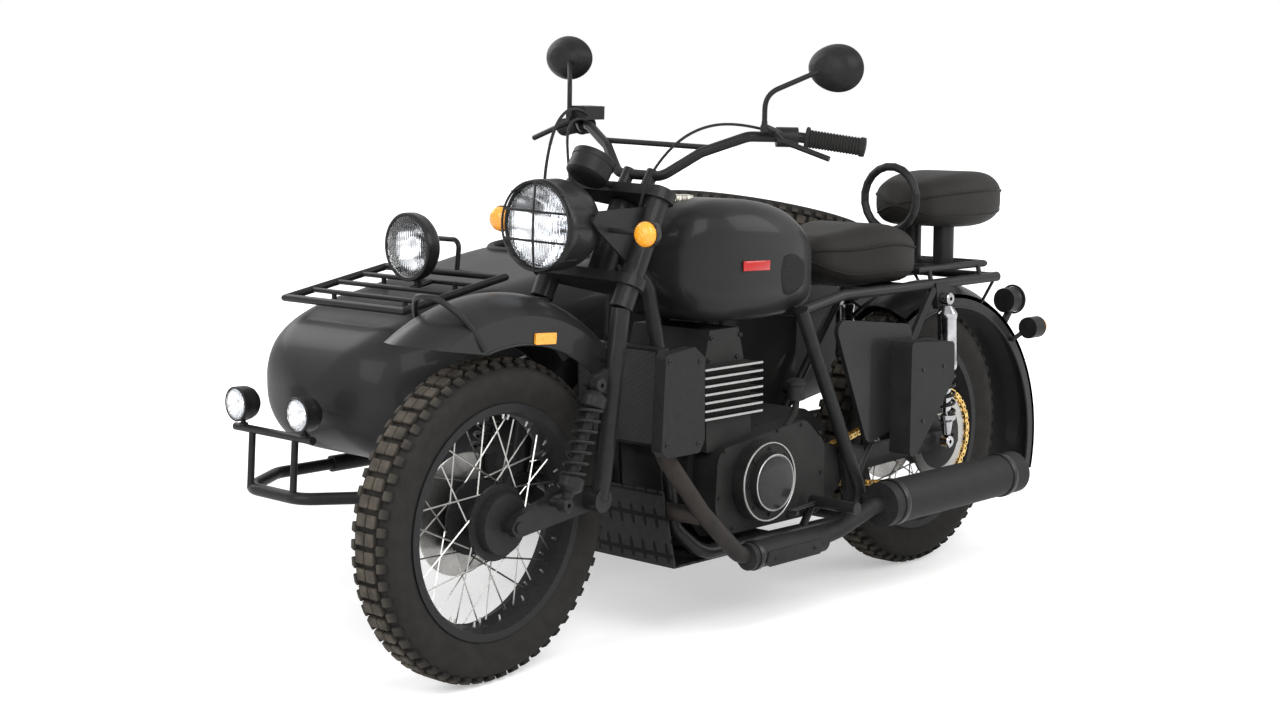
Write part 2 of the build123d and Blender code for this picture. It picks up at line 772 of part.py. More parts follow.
with BuildPart() as foot_controls:
    pair(peg_shares, peg_radius)
    pair(peg_stay_shares, rack_tube)
    pair(pedal_shares, pedal_tube)
    add(main_frame.part, mode=Mode.SUBTRACT)
    add(engine.part, mode=Mode.SUBTRACT)
finish(foot_controls.part, "foot_controls")

# Plate under the engine
skid_half_share = 12.5
skid_shares = [(104.6, 1.5), (105.2, 1.5), (101.3, -16.0), (60.0, -16.0), (60.0, -15.53), (100.8, -15.53)]

with BuildPart() as skid_plate:
    slab(skid_shares, skid_half_share, -skid_half_share)
    add(main_frame.part, mode=Mode.SUBTRACT)
    add(exhaust.part, mode=Mode.SUBTRACT)
finish(skid_plate.part, "skid_plate")


def can(back_share, depth, radius, nose=0):
    """Round lamp pointing ahead from its back, its front edge broken by its nose length."""
    plane = Plane(origin=spot(*back_share), x_dir=(0, 1, 0), z_dir=(1, 0, 0))
    with BuildSketch(plane) as ring:
        Circle(radius)
    extrude(ring.sketch, amount=depth - nose)
    if nose:
        with BuildSketch(plane.offset(depth - nose)) as lens:
            Circle(radius - nose / 2)
        extrude(lens.sketch, amount=nose, taper=lens_taper)


# Tail lamp in its hoop, with the rear signals
tail_radius = 33
tail_depth = 52
signal_radius = 28
signal_depth = 45
lens_nose = 9
lens_taper = 35
stalk_tube = 6
tail_lamp_share = (-48.0, 0, 30.3)
tail_stay_share = (-46.3, 0, 28.2)
tail_stay_turn = 142.5
rear_stalk_turn = 136
rear_signal_share = (-38.9, 13.0, 24.6)
rear_stalk_knee_share = 9.4
rear_stalk_end_share = (-36.9, 12.0, 24.6)

with BuildPart() as tail_lamp:
    can(tail_lamp_share, tail_depth, tail_radius)
    crest = rear_fender_crown / grid
    crest_x, _, crest_z = rear_fender_share
    tail_stay_end_share = (
        crest_x + crest * cos(radians(tail_stay_turn)),
        0,
        crest_z + crest * sin(radians(tail_stay_turn)),
    )
    bar([tail_stay_share, tail_stay_end_share], ring_tube)
    stalk_x, _, stalk_z = stalk_start_share = rear_skirt_share(rear_stalk_turn)
    stalk_knee_share = (stalk_x, rear_stalk_knee_share, stalk_z)
    pair([stalk_start_share, stalk_knee_share, rear_stalk_end_share], stalk_tube)
    for lamp_share in mirrored([rear_signal_share], 1) + mirrored([rear_signal_share], -1):
        can(lamp_share, signal_depth, signal_radius)
    add(rear_fender.part, mode=Mode.SUBTRACT)
finish(tail_lamp.part, "tail_lamp")

# Fork: stem, yokes and legs for a leading link
leg_spread = 110
leg_ahead = 27
leg_radius = 20
sleeve_radius = 25
sleeve_low = 457
sleeve_length = 270
yoke_sheet = 22
yoke_gap = 5
yoke_middle = 36
yoke_end = 34
leg_foot_radius = 26
leg_shares = [(117.1, 11.0, 42.0), (122.3, 11.5, 6.5), (123.3, 11.6, 2.6)]
ear_outer_share, ear_inner_share = 10.3, 9.7
shock_ear_outer_share, shock_ear_inner_share = 11.6, 10.4
foot_place_share = (123.3, 2.6)
foot_outer_share, foot_inner_share = 13.0, 9.4
ear_shares = [(106.0, 62.5), (124.0, 62.2), (126.0, 60.2), (124.0, 58.2), (113.0, 50.0)]
shock_ear_shares = [(118.0, 30.5), (126.2, 28.8), (127.8, 27.2), (126.2, 25.6), (118.8, 24.0)]

with BuildPart() as fork:
    low_yoke = head_low - yoke_gap - yoke_sheet
    high_yoke = head_low + head_length + yoke_gap
    with BuildSketch(head_plane.offset(low_yoke)) as stem:
        Circle(stem_radius)
    extrude(stem.sketch, amount=high_yoke - low_yoke + yoke_sheet)
    for level in (low_yoke, high_yoke):
        with BuildSketch(head_plane.offset(level)) as yoke:
            Circle(yoke_middle)
            with Locations((leg_ahead, leg_spread), (leg_ahead, -leg_spread)):
                Circle(yoke_end)
            make_hull()
        extrude(yoke.sketch, amount=yoke_sheet)
    with BuildSketch(head_plane.offset(sleeve_low)) as sleeves:
        with Locations((leg_ahead, leg_spread), (leg_ahead, -leg_spread)):
            Circle(sleeve_radius)
    extrude(sleeves.sketch, amount=sleeve_length)
    pair(leg_shares, leg_radius)
    slabs(ear_shares, ear_outer_share, ear_inner_share)
    slabs(shock_ear_shares, shock_ear_outer_share, shock_ear_inner_share)
    drums(*foot_place_share, foot_outer_share, foot_inner_share, leg_foot_radius)
finish(fork.part, "fork", steered=True)

# Leading links with the front axle and its caliper
link_corner = 10
link_shares = [
    (120.8, 2.6), (123.5, 5.2), (134.0, 5.0), (145.5, 2.2), (147.4, 0), (145.5, -2.2), (123.0, -0.2),
]
link_outer_share, link_inner_share = 9.4, 7.4
front_axle_half_share = 9.8
front_left_spacer_share = (7.5, 5.83)
front_right_spacer_share = (-6.63, -7.5)
shock_pin_outer_share, shock_pin_inner_share = 11.8, 9.3
front_caliper_shares = [(131.8, 4.4), (139.5, 4.0), (139.5, 12.0), (131.8, 13.0)]

with BuildPart() as front_links:
    slab(front_caliper_shares, *caliper_sides_share)
    disc_slot(wheelbase)
    slabs(link_shares, link_outer_share, link_inner_share, link_corner)
    drum(wheelbase_share, 0, front_axle_half_share, -front_axle_half_share, axle_radius)
    drum(wheelbase_share, 0, *front_left_spacer_share, spacer_radius)
    drum(wheelbase_share, 0, *front_right_spacer_share, spacer_radius)
    drums(*front_shock_low_share, shock_pin_outer_share, shock_pin_inner_share, shock_rod)
finish(front_links.part, "front_links", steered=True)

with BuildPart() as front_shocks:
    for hand in (1, -1):
        shock(
            front_shock_low_share,
            front_shock_high_share,
            hand * front_shock_share,
            front_coil,
            front_coils,
            *front_coil_shares,
        )
    add(fork.part, mode=Mode.SUBTRACT)
    add(front_links.part, mode=Mode.SUBTRACT)
finish(front_shocks.part, "front_shocks", steered=True)

# Front fender with its nose hoop, cut level at its front
fender_cut_shares = [(185.0, -5.0), (185.0, 39.6), (170.2, 38.3), (154.0, 35.6), (154.0, -5.0)]
hoop_shares = [
    (154.4, 8.0, 36.6),
    (158.5, 7.2, 42.5),
    (162.2, 3.2, 46.8),
    (162.2, -3.2, 46.8),
    (158.5, -7.2, 42.5),
    (154.4, -8.0, 36.6),
]

fender_stay_shares = [(118.8, 7.7, 30.9), (118.8, 10.4, 30.9)]

with BuildPart() as front_fender:
    fender(
        spot(wheelbase_share, 0, 0),
        front_fender_crown,
        front_fender_half,
        front_fender_depth,
        front_fender_start,
        front_fender_turn,
    )
    with BuildSketch(side(2 * front_fender_half)) as cut:
        with BuildLine():
            Polyline(*[(x * grid, z * grid) for x, z in fender_cut_shares], close=True)
        make_face()
    extrude(cut.sketch, amount=4 * front_fender_half, mode=Mode.SUBTRACT)
    bar(hoop_shares, hoop_tube, hoop_bend)
    pair(fender_stay_shares, fender_pin)
    add(fork.part, mode=Mode.SUBTRACT)
finish(front_fender.part, "front_fender", steered=True)

# Headlamp with its wire guard
guard_wire = 2.5
guard_ring = 92
boss_radius = 9
lamp_middle_share = (118.0, 0, 58.8)
shell_shares = [(0, 0), (0, 4.0), (3.5, 8.4), (7.0, 9.5), (11.8, 9.5), (12.3, 8.4), (13.3, 6.0), (13.9, 0)]
boss_place_share = (124.7, 60.2)
boss_half_share = 9.7
guard_share = (131.6, 0, 58.8)
guard_bar_shares = (3.0, -3.0)
guard_bar_half = 87
post_turns = (45, 135, 225, 315)
post_circle_share = 9.0
post_ends_share = (129.0, 131.8)

with BuildPart() as headlamp:
    lamp_middle = spot(*lamp_middle_share)
    with BuildSketch(Plane(origin=lamp_middle, x_dir=(1, 0, 0), z_dir=(0, -1, 0))) as profile:
        with BuildLine():
            Polyline(*[(x * grid, rise * grid) for x, rise in shell_shares], close=True)
        make_face()
    revolve(profile.sketch, axis=Axis(lamp_middle, (1, 0, 0)))
    drum(*boss_place_share, boss_half_share, -boss_half_share, boss_radius)
    with BuildSketch(Plane(origin=spot(*guard_share), x_dir=(0, 1, 0), z_dir=(1, 0, 0))) as guard:
        Circle(guard_ring)
        Circle(guard_ring - 2 * guard_wire, mode=Mode.SUBTRACT)
        Rectangle(2 * guard_wire, 2 * guard_ring - guard_wire)
        for rise in guard_bar_shares:
            with Locations((0, rise * grid)):
                Rectangle(2 * guard_bar_half, 2 * guard_wire)
    extrude(guard.sketch, amount=2 * guard_wire)
    for turn in post_turns:
        post_y = post_circle_share * cos(radians(turn))
        post_z = guard_share[2] + post_circle_share * sin(radians(turn))
        bar([(x, post_y, post_z) for x in post_ends_share], guard_wire)
finish(headlamp.part, "headlamp", steered=True)

# Handlebar with its crossbar and risers
handlebar_tube = 11
crossbar_tube = 6
handlebar_bend = 45
riser_back = -10
riser_half = 32
riser_radius = 14
riser_top_share = (98.8, 3.2, 68.1)
crossbar_shares = [(93.1, 15.6, 74.6), (93.1, -15.6, 74.6)]
handlebar_shares = [
    (75.9, 42.0, 75.8),
    (82.6, 30.0, 77.4),
    (90.0, 22.0, 77.3),
    (94.4, 13.0, 73.5),
    (98.8, 6.0, 68.1),
    (98.8, -6.0, 68.1),
    (94.4, -13.0, 73.5),
    (90.0, -22.0, 77.3),
    (82.6, -30.0, 77.4),
    (75.9, -42.0, 75.8),
]

with BuildPart() as handlebar:
    bar(handlebar_shares, handlebar_tube, handlebar_bend)
    bar(crossbar_shares, crossbar_tube)
    for hand in (1, -1):
        foot = head_plane.from_local_coords(Vector(riser_back, hand * riser_half, high_yoke + yoke_sheet / 2))
        rise = spot(*mirrored([riser_top_share], hand)[0]) - foot
        with BuildPart(mode=Mode.PRIVATE) as riser:
            with BuildSketch(Plane(origin=foot, z_dir=rise)) as section:
                Circle(riser_radius)
            extrude(section.sketch, amount=rise.length + handlebar_tube)
        add(riser.part)
    add(fork.part, mode=Mode.SUBTRACT)
finish(handlebar.part, "handlebar", steered=True)

# Grips, switch pods, levers and the fluid reservoir
grip_radius = 17
pod_radius = 21
grip_shares = [(75.9, 42.0, 75.8), (82.0, 31.1, 77.26)]
pod_shares = [(82.9, 29.7, 77.4), (86.0, 26.3, 77.36)]
perch_shares = [(84.6, 27.8, 77.4), (91.3, 27.0, 79.4)]
lever_shares = [(88.5, 27.4, 78.5), (90.2, 31.0, 76.8), (87.5, 41.0, 73.6)]
reservoir_share = (87.0, -25.5, 78.6)
reservoir_length = 66
reservoir_width = 48
reservoir_height = 30

with BuildPart() as hand_controls:
    for hand in (1, -1):
        bar(mirrored(grip_shares, hand), grip_radius)
        bar(mirrored(pod_shares, hand), pod_radius)
        bar(mirrored(perch_shares, hand), rack_tube)
        bar(mirrored(lever_shares, hand), stalk_tube)
    with BuildSketch(Plane(origin=spot(*reservoir_share))) as pot:
        Rectangle(reservoir_length, reservoir_width)
    extrude(pot.sketch, amount=reservoir_height)
    add(handlebar.part, mode=Mode.SUBTRACT)
finish(hand_controls.part, "hand_controls", steered=True)

# Mirrors: bent stems and egg-shaped heads
mirror_half_width = 68
mirror_half_height = 50
mirror_depth = 34
mirror_share = (80.2, 36.9, 92.1)
mirror_stem_shares = [(91.3, 27.0, 79.6), (91.4, 27.0, 86.3), (81.5, 34.0, 91.0)]

with BuildPart() as mirrors:
    for hand in (1, -1):
        bar(mirrored(mirror_stem_shares, hand), pedal_tube)
        middle = spot(*mirrored([mirror_share], hand)[0])
        face = Plane(origin=middle, x_dir=(0, 1, 0), z_dir=(1, 0, 0))
        with BuildSketch(face) as rear_edge:
            Ellipse(mirror_half_width, mirror_half_height)
        with BuildSketch(face.offset(mirror_depth)) as crown:
            Ellipse(mirror_half_width / 2, mirror_half_height / 2)
        loft(sections=[rear_edge.sketch, crown.sketch])
    add(hand_controls.part, mode=Mode.SUBTRACT)
finish(mirrors.part, "mirrors", steered=True)

# Front signals on stalks from the headlamp's ears
front_stalk_shares = [(120.3, 10.3, 58.2), (120.3, 19.0, 58.2)]
front_signal_share = (118.0, 20.0, 58.2)

with BuildPart() as front_signals:
    pair(front_stalk_shares, stalk_tube)
    for lamp_share in mirrored([front_signal_share], 1) + mirrored([front_signal_share], -1):
        can(lamp_share, signal_depth, signal_radius, lens_nose)
finish(front_signals.part, "front_signals", steered=True)

# Instrument on its bracket above the headlamp
instrument_radius = 46
instrument_depth = 52
instrument_tilt = 55
instrument_share = (116.6, 0, 68.0)
instrument_stay_shares = [(105.0, 0, 65.0), (114.5, 0, 68.5)]

with BuildPart() as instrument:
    dial = Plane(
        origin=spot(*instrument_share),
        x_dir=(0, 1, 0),
        z_dir=(-cos(radians(instrument_tilt)), 0, sin(radians(instrument_tilt))),
    )
    with BuildSketch(dial) as case:
        Circle(instrument_radius)
    extrude(case.sketch, amount=instrument_depth)
    bar(instrument_stay_shares, rack_tube)
    add(fork.part, mode=Mode.SUBTRACT)
finish(instrument.part, "instrument", steered=True)

# Sidecar body: a hollow shell with an open cockpit and a trunk behind it
tub_drop = tan(radians(trunk_slope))
tail_share = -45.0
bulkhead_share = 23.0
tub_high_share = 48.6
tail_shares = [
    (tail_share, 8.0, tub_high_share - (bulkhead_share - tail_share) * tub_drop, 28.5, 7.0),
    (bulkhead_share, -1.4, tub_high_share, 31.0, 7.0),
]
nose_shares = [
    (bulkhead_share, -1.4, tub_high_share, 31.0, 7.0),
    (47.0, -1.4, 47.6, 31.0, 8.5),
    (70.0, -1.4, 45.6, 31.0, 10.5),
    (90.0, -1.3, 42.3, 30.9, 12.5),
    (108.0, -0.6, 39.0, 30.4, 14.0),
    (122.0, 1.2, 36.4, 28.6, 14.5),
    (133.0, 5.2, 32.0, 24.0, 12.0),
    (141.0, 12.0, 25.5, 14.0, 6.0),
]
tub_y = -tub_centre
wall_share = tub_wall / grid
cockpit_length = 420
cockpit_half = 235
cockpit_corner = 90
trunk_length = 520
trunk_half = 215
trunk_corner = 50
cut_reach = 400
cockpit_share = 47.0
trunk_cut_depth = 48
trunk_front_share = 21.5
trunk_top = spot(trunk_front_share, 0, tub_high_share - (bulkhead_share - trunk_front_share) * tub_drop)
trunk_plane = Plane(
    origin=(trunk_top.X, tub_y, trunk_top.Z),
    x_dir=(-cos(radians(trunk_slope)), 0, -sin(radians(trunk_slope))),
    z_dir=(-sin(radians(trunk_slope)), 0, cos(radians(trunk_slope))),
)
lid_length = 620
lid_half = 262
lid_sheet = 16
lid_corner = 60
lid_start = 4
hinge_back = -8
hinge_height = 12
hinge_radius = 10
hinge_pin = 5
hinge_half = 25
hinge_places = (-150, 150)
ear_radius = 8
ear_sheet = 8
ear_play = 1
hinge_plane = Plane(
    origin=trunk_plane.from_local_coords(Vector(hinge_back, 0, hinge_height)),
    x_dir=trunk_plane.x_dir,
    z_dir=(0, 1, 0),
)


def inset(stations):
    """The same sections, drawn in by the wall all round."""
    return [
        (x, low + wall_share, high - wall_share, half - wall_share, corner - wall_share)
        for x, low, high, half, corner in stations
    ]


def between(stations, x):
    """The section between two others at a place x."""
    (start, *first), (end, *last) = stations
    part = (x - start) / (end - start)
    return (x, *[a + (b - a) * part for a, b in zip(first, last)])


with BuildPart() as tub_form:
    body(tail_shares, tub_y)
    body(nose_shares, tub_y)

with BuildPart() as sidecar_body:
    add(tub_form.part)
    with BuildPart(mode=Mode.PRIVATE) as room:
        back = between(tail_shares, tail_share + wall_share)
        front = between(tail_shares, bulkhead_share - wall_share)
        body(inset([back, front]), tub_y)
    add(room.part, mode=Mode.SUBTRACT)
    with BuildPart(mode=Mode.PRIVATE) as cabin:
        body(inset(nose_shares[:-1]), tub_y)
    add(cabin.part, mode=Mode.SUBTRACT)
    with BuildSketch(Plane(origin=(cockpit_share * grid, tub_y, wheel_radius + cut_reach))) as cockpit:
        RectangleRounded(cockpit_length, 2 * cockpit_half, cockpit_corner)
    extrude(cockpit.sketch, amount=cut_reach, mode=Mode.SUBTRACT)
    with BuildSketch(trunk_plane.offset(-trunk_cut_depth)) as trunk:
        with Locations((lid_start + lid_length / 2, 0)):
            RectangleRounded(trunk_length, 2 * trunk_half, trunk_corner)
    extrude(trunk.sketch, amount=cut_reach, mode=Mode.SUBTRACT)
    # Each lid knuckle turns on a pin held between two ears
    ear_reach = hinge_half + ear_play + ear_sheet
    for place in hinge_places:
        for start in (place - ear_reach, place + hinge_half + ear_play):
            with BuildSketch(hinge_plane.offset(start)) as ear:
                Circle(ear_radius)
                with Locations((0, -hinge_height / 2)):
                    Rectangle(2 * ear_radius, hinge_height + 2 * seat_gap)
            extrude(ear.sketch, amount=ear_sheet)
        with BuildSketch(hinge_plane.offset(place - ear_reach)) as pin:
            Circle(hinge_pin)
        extrude(pin.sketch, amount=2 * ear_reach)
finish(sidecar_body.part, "sidecar_body")

# Trunk lid with the spare wheel's seat and bolt
spare_along = 361
spare_height = 80
seat_radius = 34
nut_height = 14

spare_plane = Plane(
    origin=trunk_plane.from_local_coords(Vector(spare_along, 0, spare_height)),
    x_dir=trunk_plane.x_dir,
    z_dir=trunk_plane.z_dir,
)

with BuildPart() as trunk_lid:
    with BuildSketch(trunk_plane.offset(seat_gap)) as sheet:
        with Locations((lid_start + lid_length / 2, 0)):
            RectangleRounded(lid_length, 2 * lid_half, lid_corner)
    extrude(sheet.sketch, amount=lid_sheet)
    with BuildSketch(spare_plane.offset(lid_sheet - spare_height)) as seat:
        Circle(seat_radius)
    extrude(seat.sketch, amount=spare_height - lid_sheet - hub_half)
    with BuildSketch(spare_plane.offset(lid_sheet - spare_height)) as bolt:
        Circle(axle_radius)
    extrude(bolt.sketch, amount=spare_height - lid_sheet + hub_half + nut_height)
    with BuildSketch(spare_plane.offset(hub_half)) as nut:
        RegularPolygon(2 * axle_radius, 6)
    extrude(nut.sketch, amount=nut_height)
    for place in hinge_places:
        with BuildSketch(hinge_plane.offset(place - hinge_half)) as knuckle:
            Circle(hinge_radius)
            with Locations((hinge_radius, seat_gap - hinge_height + lid_sheet / 2)):
                Rectangle(2 * hinge_radius, lid_sheet)
            Circle(hinge_pin + running_fit, mode=Mode.SUBTRACT)
        extrude(knuckle.sketch, amount=2 * hinge_half)
finish(trunk_lid.part, "trunk_lid")
tyre("spare_tyre", spare_plane)
laced_rim("spare_rim", spare_plane)

# Sidecar seat: one padded cushion and back
seat_half_share = 22.0
cushion_corner = 25
cushion_shares = [(23.1, -0.2), (62.0, -0.2), (62.5, 14.0), (35.0, 12.0), (30.0, 42.0), (23.1, 43.0)]

with BuildPart() as sidecar_seat:
    slab(cushion_shares, seat_half_share - tub_share, -seat_half_share - tub_share, cushion_corner)
    add(sidecar_body.part, mode=Mode.SUBTRACT)
finish(sidecar_seat.part, "sidecar_seat")

# Sidecar frame under the body, with its struts to the motorcycle
side_tube = 20
cross_tube = 16
strut_tube = 12
rail_back_share, rail_front_share, rail_level_share = -24.0, 118.0, -3.43
rail_offset_share = 20.5
near_rail_share = rail_offset_share - tub_share
far_rail_share = -rail_offset_share - tub_share
side_cross_shares = (0.0, 50.0, 92.0)
arm_tube_share = 29.0
lower_strut_shares = [
    [(92.0, near_rail_share, rail_level_share), (92.0, -13.6, -13.5)],
    [(40.0, near_rail_share, rail_level_share), (40.0, -14.4, -7.0)],
]
upper_strut_shares = [
    [(92.0, -31.5, -7.57), (99.6, -7.8, 20.0)],
    [(40.0, -31.5, -4.94), (58.8, -14.9, 30.0)],
]
# Places of the sidecar wheel's arm and shock count from its axle
side_arm_shares = [(31.5, -5.6), (31.5, -1.2), (2.0, 2.6), (-2.0, 2.4), (-2.6, -2.0), (2.0, -2.6)]
side_arm_outer_share, side_arm_inner_share = 10.5, 13.3
side_axle_sides_share = (11.0, -6.6)
side_spacer_sides_share = (11.0, 6.63)
side_shock_low_share = (5.0, 1.0)
side_shock_high_share = (6.0, 27.0)
side_shock_place_share = 14.5
tower_outer_share = 15.7
tower_shares = [(3.0, 24.0), (9.0, 24.0), (9.0, 30.0), (3.0, 30.0)]
side_coil = 27

with BuildPart() as sidecar_frame:
    for y in (near_rail_share, far_rail_share):
        bar([(rail_back_share, y, rail_level_share), (rail_front_share, y, rail_level_share)], side_tube)
    for x in side_cross_shares:
        bar([(x, near_rail_share, rail_level_share), (x, far_rail_share, rail_level_share)], cross_tube)
    arm_x = lead_share + arm_tube_share
    arm_y = side_arm_inner_share - track_share
    bar([(arm_x, far_rail_share, rail_level_share), (arm_x, arm_y, rail_level_share)], side_tube)
    for ends in lower_strut_shares:
        bar(ends, cross_tube)
    for ends in upper_strut_shares:
        bar(ends, strut_tube)
    add(main_frame.part, mode=Mode.SUBTRACT)
    add(engine.part, mode=Mode.SUBTRACT)
    add(tub_form.part, mode=Mode.SUBTRACT)
finish(sidecar_frame.part, "sidecar_frame")

# Sidecar wheel's arm and stub axle, with its shock and the tower that carries it on the body


def from_side_axle(shares):
    """Places counted from the sidecar's axle, on the grid."""
    return [(lead_share + x, z) for x, z in shares]


with BuildPart() as sidecar_arm:
    slab(
        from_side_axle(side_arm_shares),
        side_arm_inner_share - track_share,
        side_arm_outer_share - track_share,
        link_corner,
    )
    for sides, radius in ((side_axle_sides_share, axle_radius), (side_spacer_sides_share, spacer_radius)):
        drum(lead_share, 0, sides[0] - track_share, sides[1] - track_share, radius)
    shock(
        *from_side_axle([side_shock_low_share, side_shock_high_share]),
        side_shock_place_share - track_share,
        side_coil,
        side_coils,
        *side_coil_shares,
    )
    slab(from_side_axle(tower_shares), -tub_share, tower_outer_share - track_share)
    add(tub_form.part, mode=Mode.SUBTRACT)
finish(sidecar_arm.part, "sidecar_arm")

with BuildPart() as sidecar_fender:
    fender(
        Vector(sidecar_lead, -sidecar_track, wheel_radius),
        side_fender_crown,
        side_fender_half,
        side_fender_depth,
        side_fender_start,
        side_fender_turn,
    )
    centre_share = (lead_share, -track_share, 0)
    for turn in side_pin_turns:
        pin_share = skirt_share(centre_share, side_fender_crown, side_fender_half, side_fender_depth, turn)
        bar([pin_share, (pin_share[0], side_pin_share - tub_share, side_pin_level_share)], fender_pin)
    add(tub_form.part, mode=Mode.SUBTRACT)
finish(sidecar_fender.part, "sidecar_fender")

# Rack on the sidecar's nose
rack_offset_share = -0.5
rack_middle_share = rack_offset_share - tub_share
rack_half_share = 21.5
rack_front_share, rack_back_share = 129.0, 99.0
rack_low_share, rack_high_share = 37.7, 43.2
nose_slat_shares = (121.5, 114.0, 106.5)
nose_post_shares = (121.5, 106.5)
post_half_share = 13.0
post_length_share = 6.0
rack_hoop_shares = [(99.0, -7.0, 43.2), (98.0, -7.0, 51.0), (98.0, 5.0, 51.0), (99.0, 5.0, 43.2)]


def rack_level_share(x):
    """Height of the sloping rack at a place x."""
    rise = (rack_front_share - x) / (rack_front_share - rack_back_share)
    return rack_low_share + (rack_high_share - rack_low_share) * rise


def across_rack(x, half_share):
    """The two ends of a line across the rack, right end first."""
    level = rack_level_share(x)
    return [(x, rack_middle_share - half_share, level), (x, rack_middle_share + half_share, level)]


with BuildPart() as nose_rack:
    outline_shares = across_rack(rack_front_share, rack_half_share)
    outline_shares += across_rack(rack_back_share, rack_half_share)[::-1]
    bar(outline_shares + outline_shares[:1], rack_tube)
    for x in nose_slat_shares:
        bar(across_rack(x, rack_half_share), slat_tube)
    for x in nose_post_shares:
        for x, y, level in across_rack(x, post_half_share):
            bar([(x, y, level), (x, y, level - post_length_share)], slat_tube)
    bar([(x, rack_middle_share + y, z) for x, y, z in rack_hoop_shares], slat_tube, hoop_bend)
    add(tub_form.part, mode=Mode.SUBTRACT)
finish(nose_rack.part, "nose_rack")

# Bumper round the sidecar's nose, with a bar for its lamps
bumper_tube = 14
bumper_bend = 70
bumper_corner_share, bumper_front_share = 134.0, 149.0
bumper_left_share, bumper_right_share = 8.5, -10.5
bumper_shares = [
    (rail_front_share, near_rail_share, rail_level_share),
    (bumper_corner_share, near_rail_share, rail_level_share),
    (bumper_front_share, bumper_left_share - tub_share, rail_level_share),
    (bumper_front_share, bumper_right_share - tub_share, rail_level_share),
    (bumper_corner_share, far_rail_share, rail_level_share),
    (rail_front_share, far_rail_share, rail_level_share),
]
lamp_bar_share, lamp_level_share = 148.0, 10.0
lamp_bar_ends_share = (12.5, -16.5)
lamp_post_shares = (6.0, -10.0)

with BuildPart() as nose_bumper:
    bar(bumper_shares, bumper_tube, bumper_bend)
    for across in lamp_post_shares:
        y = across - tub_share
        bar([(bumper_front_share, y, rail_level_share), (lamp_bar_share, y, lamp_level_share)], fender_pin)
    bar([(lamp_bar_share, y - tub_share, lamp_level_share) for y in lamp_bar_ends_share], rack_tube)
finish(nose_bumper.part, "nose_bumper")

# Lamps of the sidecar: one large on the rack, two small on the bumper
spot_radius = 80
spot_nose = 16
spot_depth = 65
bumper_lamp_radius = 40
bumper_lamp_depth = 60
spot_offset_share = 4.5
spot_y_share = spot_offset_share - tub_share
spot_share = (108.5, spot_y_share, 50.2)
spot_post_shares = [(111.0, spot_y_share, 48.0), (111.0, spot_y_share, 41.0)]
spot_bridge_shares = [(x, spot_y_share, rack_level_share(x)) for x in (106.5, 114.0)]
bumper_lamp_offset_shares = (9.5, -13.5)
bumper_lamp_shares = [(144.5, y - tub_share, 15.6) for y in bumper_lamp_offset_shares]
lamp_foot_share = 12.0

with BuildPart() as driving_lamps:
    can(spot_share, spot_depth, spot_radius, spot_nose)
    bar(spot_post_shares, rack_tube)
    bar(spot_bridge_shares, slat_tube)
    for lamp_share in bumper_lamp_shares:
        can(lamp_share, bumper_lamp_depth, bumper_lamp_radius, lens_nose)
        y = lamp_share[1]
        bar([(lamp_bar_share, y, lamp_foot_share), (lamp_bar_share, y, lamp_level_share)], slat_tube)
    add(nose_rack.part, mode=Mode.SUBTRACT)
    add(nose_bumper.part, mode=Mode.SUBTRACT)
finish(driving_lamps.part, "driving_lamps")
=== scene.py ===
import bpy
import json
from math import acos, atan2, cos, pi, radians, sin, sqrt
from mathutils import Matrix, Vector


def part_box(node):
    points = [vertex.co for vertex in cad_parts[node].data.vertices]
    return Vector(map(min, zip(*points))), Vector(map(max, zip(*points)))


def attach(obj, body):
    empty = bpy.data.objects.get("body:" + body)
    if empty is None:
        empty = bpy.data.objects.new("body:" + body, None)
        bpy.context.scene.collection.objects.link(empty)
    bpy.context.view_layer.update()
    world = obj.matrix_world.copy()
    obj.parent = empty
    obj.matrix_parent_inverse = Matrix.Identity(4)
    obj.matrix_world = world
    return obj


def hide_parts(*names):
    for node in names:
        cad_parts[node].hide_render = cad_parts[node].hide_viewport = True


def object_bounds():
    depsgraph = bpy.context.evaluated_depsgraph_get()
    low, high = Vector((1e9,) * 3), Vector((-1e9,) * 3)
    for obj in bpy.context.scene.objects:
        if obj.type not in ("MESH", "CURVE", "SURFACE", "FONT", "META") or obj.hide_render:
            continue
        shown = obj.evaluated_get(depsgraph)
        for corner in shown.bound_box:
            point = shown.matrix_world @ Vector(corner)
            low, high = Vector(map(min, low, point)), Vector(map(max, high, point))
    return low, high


# Sidecar motorcycle, in metres, in the row frame: X forward, Y to the rider's left, Z up.
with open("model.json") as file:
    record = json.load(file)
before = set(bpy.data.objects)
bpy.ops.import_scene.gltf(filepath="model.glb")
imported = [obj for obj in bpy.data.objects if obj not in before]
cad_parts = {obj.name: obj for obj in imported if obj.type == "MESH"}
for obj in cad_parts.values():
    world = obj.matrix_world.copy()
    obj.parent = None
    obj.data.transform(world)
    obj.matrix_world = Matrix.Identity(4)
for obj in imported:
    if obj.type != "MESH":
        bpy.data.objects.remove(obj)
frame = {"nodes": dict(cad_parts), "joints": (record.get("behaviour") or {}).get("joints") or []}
cad_low, cad_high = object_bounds()
nodes = frame["nodes"]
bpy.ops.object.select_all(action="DESELECT")


# The camera stands where the photograph's camera stood: in front, to the machine's left, at mirror height.
# Its place and lens come from a fit of the wheels and lamps to the photograph.
camera_place = Vector((3.410, 3.332, 1.188))
camera_yaw = radians(43.686)
camera_pitch = radians(7.712)
camera_lens = 55.35

